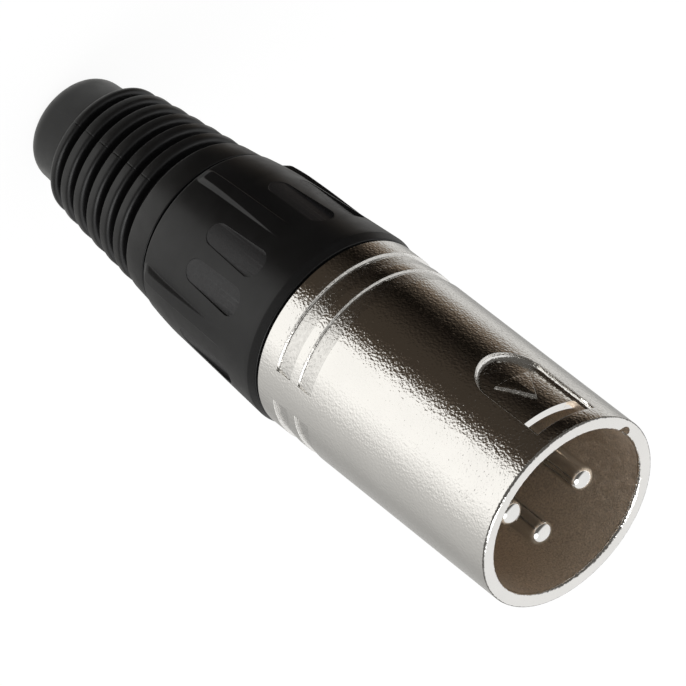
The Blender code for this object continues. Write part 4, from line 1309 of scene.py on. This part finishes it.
def placed(name, data, matrix):
    """A lamp or camera in its place."""
    made = bpy.data.objects.new(name, data)
    bpy.context.scene.collection.objects.link(made)
    made.matrix_world = matrix
    return made


def make_stage():
    """Floor, reflecting card, lamp, white room and the camera at the photograph's angle."""
    s = settings("plug_studio")
    scene = bpy.context.scene
    bm = bmesh.new()
    bmesh.ops.create_grid(bm, x_segments=1, y_segments=1, size=s.floor_size / 2)
    stage_object(bm, "floor", floor_material())

    bm = bmesh.new()
    bmesh.ops.create_circle(bm, cap_ends=True, segments=CARD_STEPS, radius=s.card_radius)
    bmesh.ops.translate(bm, verts=bm.verts, vec=(0, 0, CARD_LIFT))
    card = stage_object(bm, "studio_card", card_material())
    for ray in ("camera", "diffuse", "shadow", "transmission", "volume_scatter"):
        setattr(card, "visible_" + ray, False)

    lamp = bpy.data.lights.new("soft_lamp", "AREA")
    lamp.energy = s.key_power
    lamp.shape = "DISK"
    lamp.size = s.key_size
    aim = Vector(LAMP_PLACE)
    placed("soft_lamp", lamp,
           Matrix.Translation(aim) @ aim.to_track_quat("Z", "Y").to_matrix().to_4x4())
    scene.world = white_room()

    lens = bpy.data.cameras.new("camera")
    lens.lens = s.lens
    lens.clip_start, lens.clip_end = CAMERA_CLIP
    right = Vector(CAMERA_RIGHT).normalized()
    back = right.cross(Vector(CAMERA_UP)).normalized()
    turn = Matrix((right, back.cross(right), back)).transposed().to_4x4()
    scene.camera = placed("camera", lens, Matrix.Translation(CAMERA_PLACE) @ turn)
    scene.view_settings.view_transform = "Standard"


# Operators and their panel.

class Makes:
    """What the operators share: each runs its own functions."""

    def execute(self, context):
        for make in self.makers:
            make()
        return {"FINISHED"}


class CABLEPLUG_OT_shell(Makes, bpy.types.Operator):
    """Make the plated shell and the thread on its spigot"""
    bl_idname = "cableplug.shell"
    bl_label = "Shell"
    makers = (make_shell, make_spigot_thread)


class CABLEPLUG_OT_insulator(Makes, bpy.types.Operator):
    """Make the insulator that holds the pins"""
    bl_idname = "cableplug.insulator"
    bl_label = "Insulator"
    makers = (make_insert,)


class CABLEPLUG_OT_contacts(Makes, bpy.types.Operator):
    """Make the three pins"""
    bl_idname = "cableplug.contacts"
    bl_label = "Pins"
    makers = (make_pins,)


class CABLEPLUG_OT_nut(Makes, bpy.types.Operator):
    """Make the grip nut and its thread"""
    bl_idname = "cableplug.nut"
    bl_label = "Grip nut"
    makers = (make_nut, make_nut_thread)


class CABLEPLUG_OT_boot(Makes, bpy.types.Operator):
    """Make the ribbed boot"""
    bl_idname = "cableplug.boot"
    bl_label = "Boot"
    makers = (make_boot,)


class CABLEPLUG_OT_inner(Makes, bpy.types.Operator):
    """Give the chuck and the spring strip their finishes"""
    bl_idname = "cableplug.inner"
    bl_label = "Chuck and strip"
    makers = (dress_inner,)


class CABLEPLUG_OT_stage(Makes, bpy.types.Operator):
    """Set the floor, the light and the camera"""
    bl_idname = "cableplug.stage"
    bl_label = "Stage"
    makers = (make_stage,)


OPERATORS = (CABLEPLUG_OT_shell, CABLEPLUG_OT_insulator, CABLEPLUG_OT_contacts,
             CABLEPLUG_OT_nut, CABLEPLUG_OT_boot, CABLEPLUG_OT_inner, CABLEPLUG_OT_stage)


class CABLEPLUG_PT_pieces(bpy.types.Panel):
    """Lists the plug's pieces"""
    bl_idname = "CABLEPLUG_PT_pieces"
    bl_label = "Cable plug"
    bl_space_type = "VIEW_3D"
    bl_region_type = "UI"
    bl_category = "Cable plug"

    def draw(self, context):
        for operator in OPERATORS:
            self.layout.operator(operator.bl_idname)


GROUPS = {
    "plug_shell": ShellSizes,
    "plug_nut": NutSizes,
    "plug_boot": BootSizes,
    "plug_contacts": ContactSizes,
    "plug_colours": PlugColours,
    "plug_studio": StudioSettings,
}


def register():
    """Add the classes and the scene's settings."""
    for item in (*GROUPS.values(), *OPERATORS, CABLEPLUG_PT_pieces):
        bpy.utils.register_class(item)
    for name, group in GROUPS.items():
        setattr(bpy.types.Scene, name, PointerProperty(type=group))


def unregister():
    """Take the classes and the scene's settings away."""
    for name in GROUPS:
        delattr(bpy.types.Scene, name)
    for item in (CABLEPLUG_PT_pieces, *OPERATORS, *GROUPS.values()):
        bpy.utils.unregister_class(item)


def main():
    """Make every piece and the stage."""
    register()
    bpy.ops.cableplug.shell()
    bpy.ops.cableplug.insulator()
    bpy.ops.cableplug.contacts()
    bpy.ops.cableplug.nut()
    bpy.ops.cableplug.boot()
    bpy.ops.cableplug.inner()
    bpy.ops.cableplug.stage()


if __name__ == "__main__":
    main()
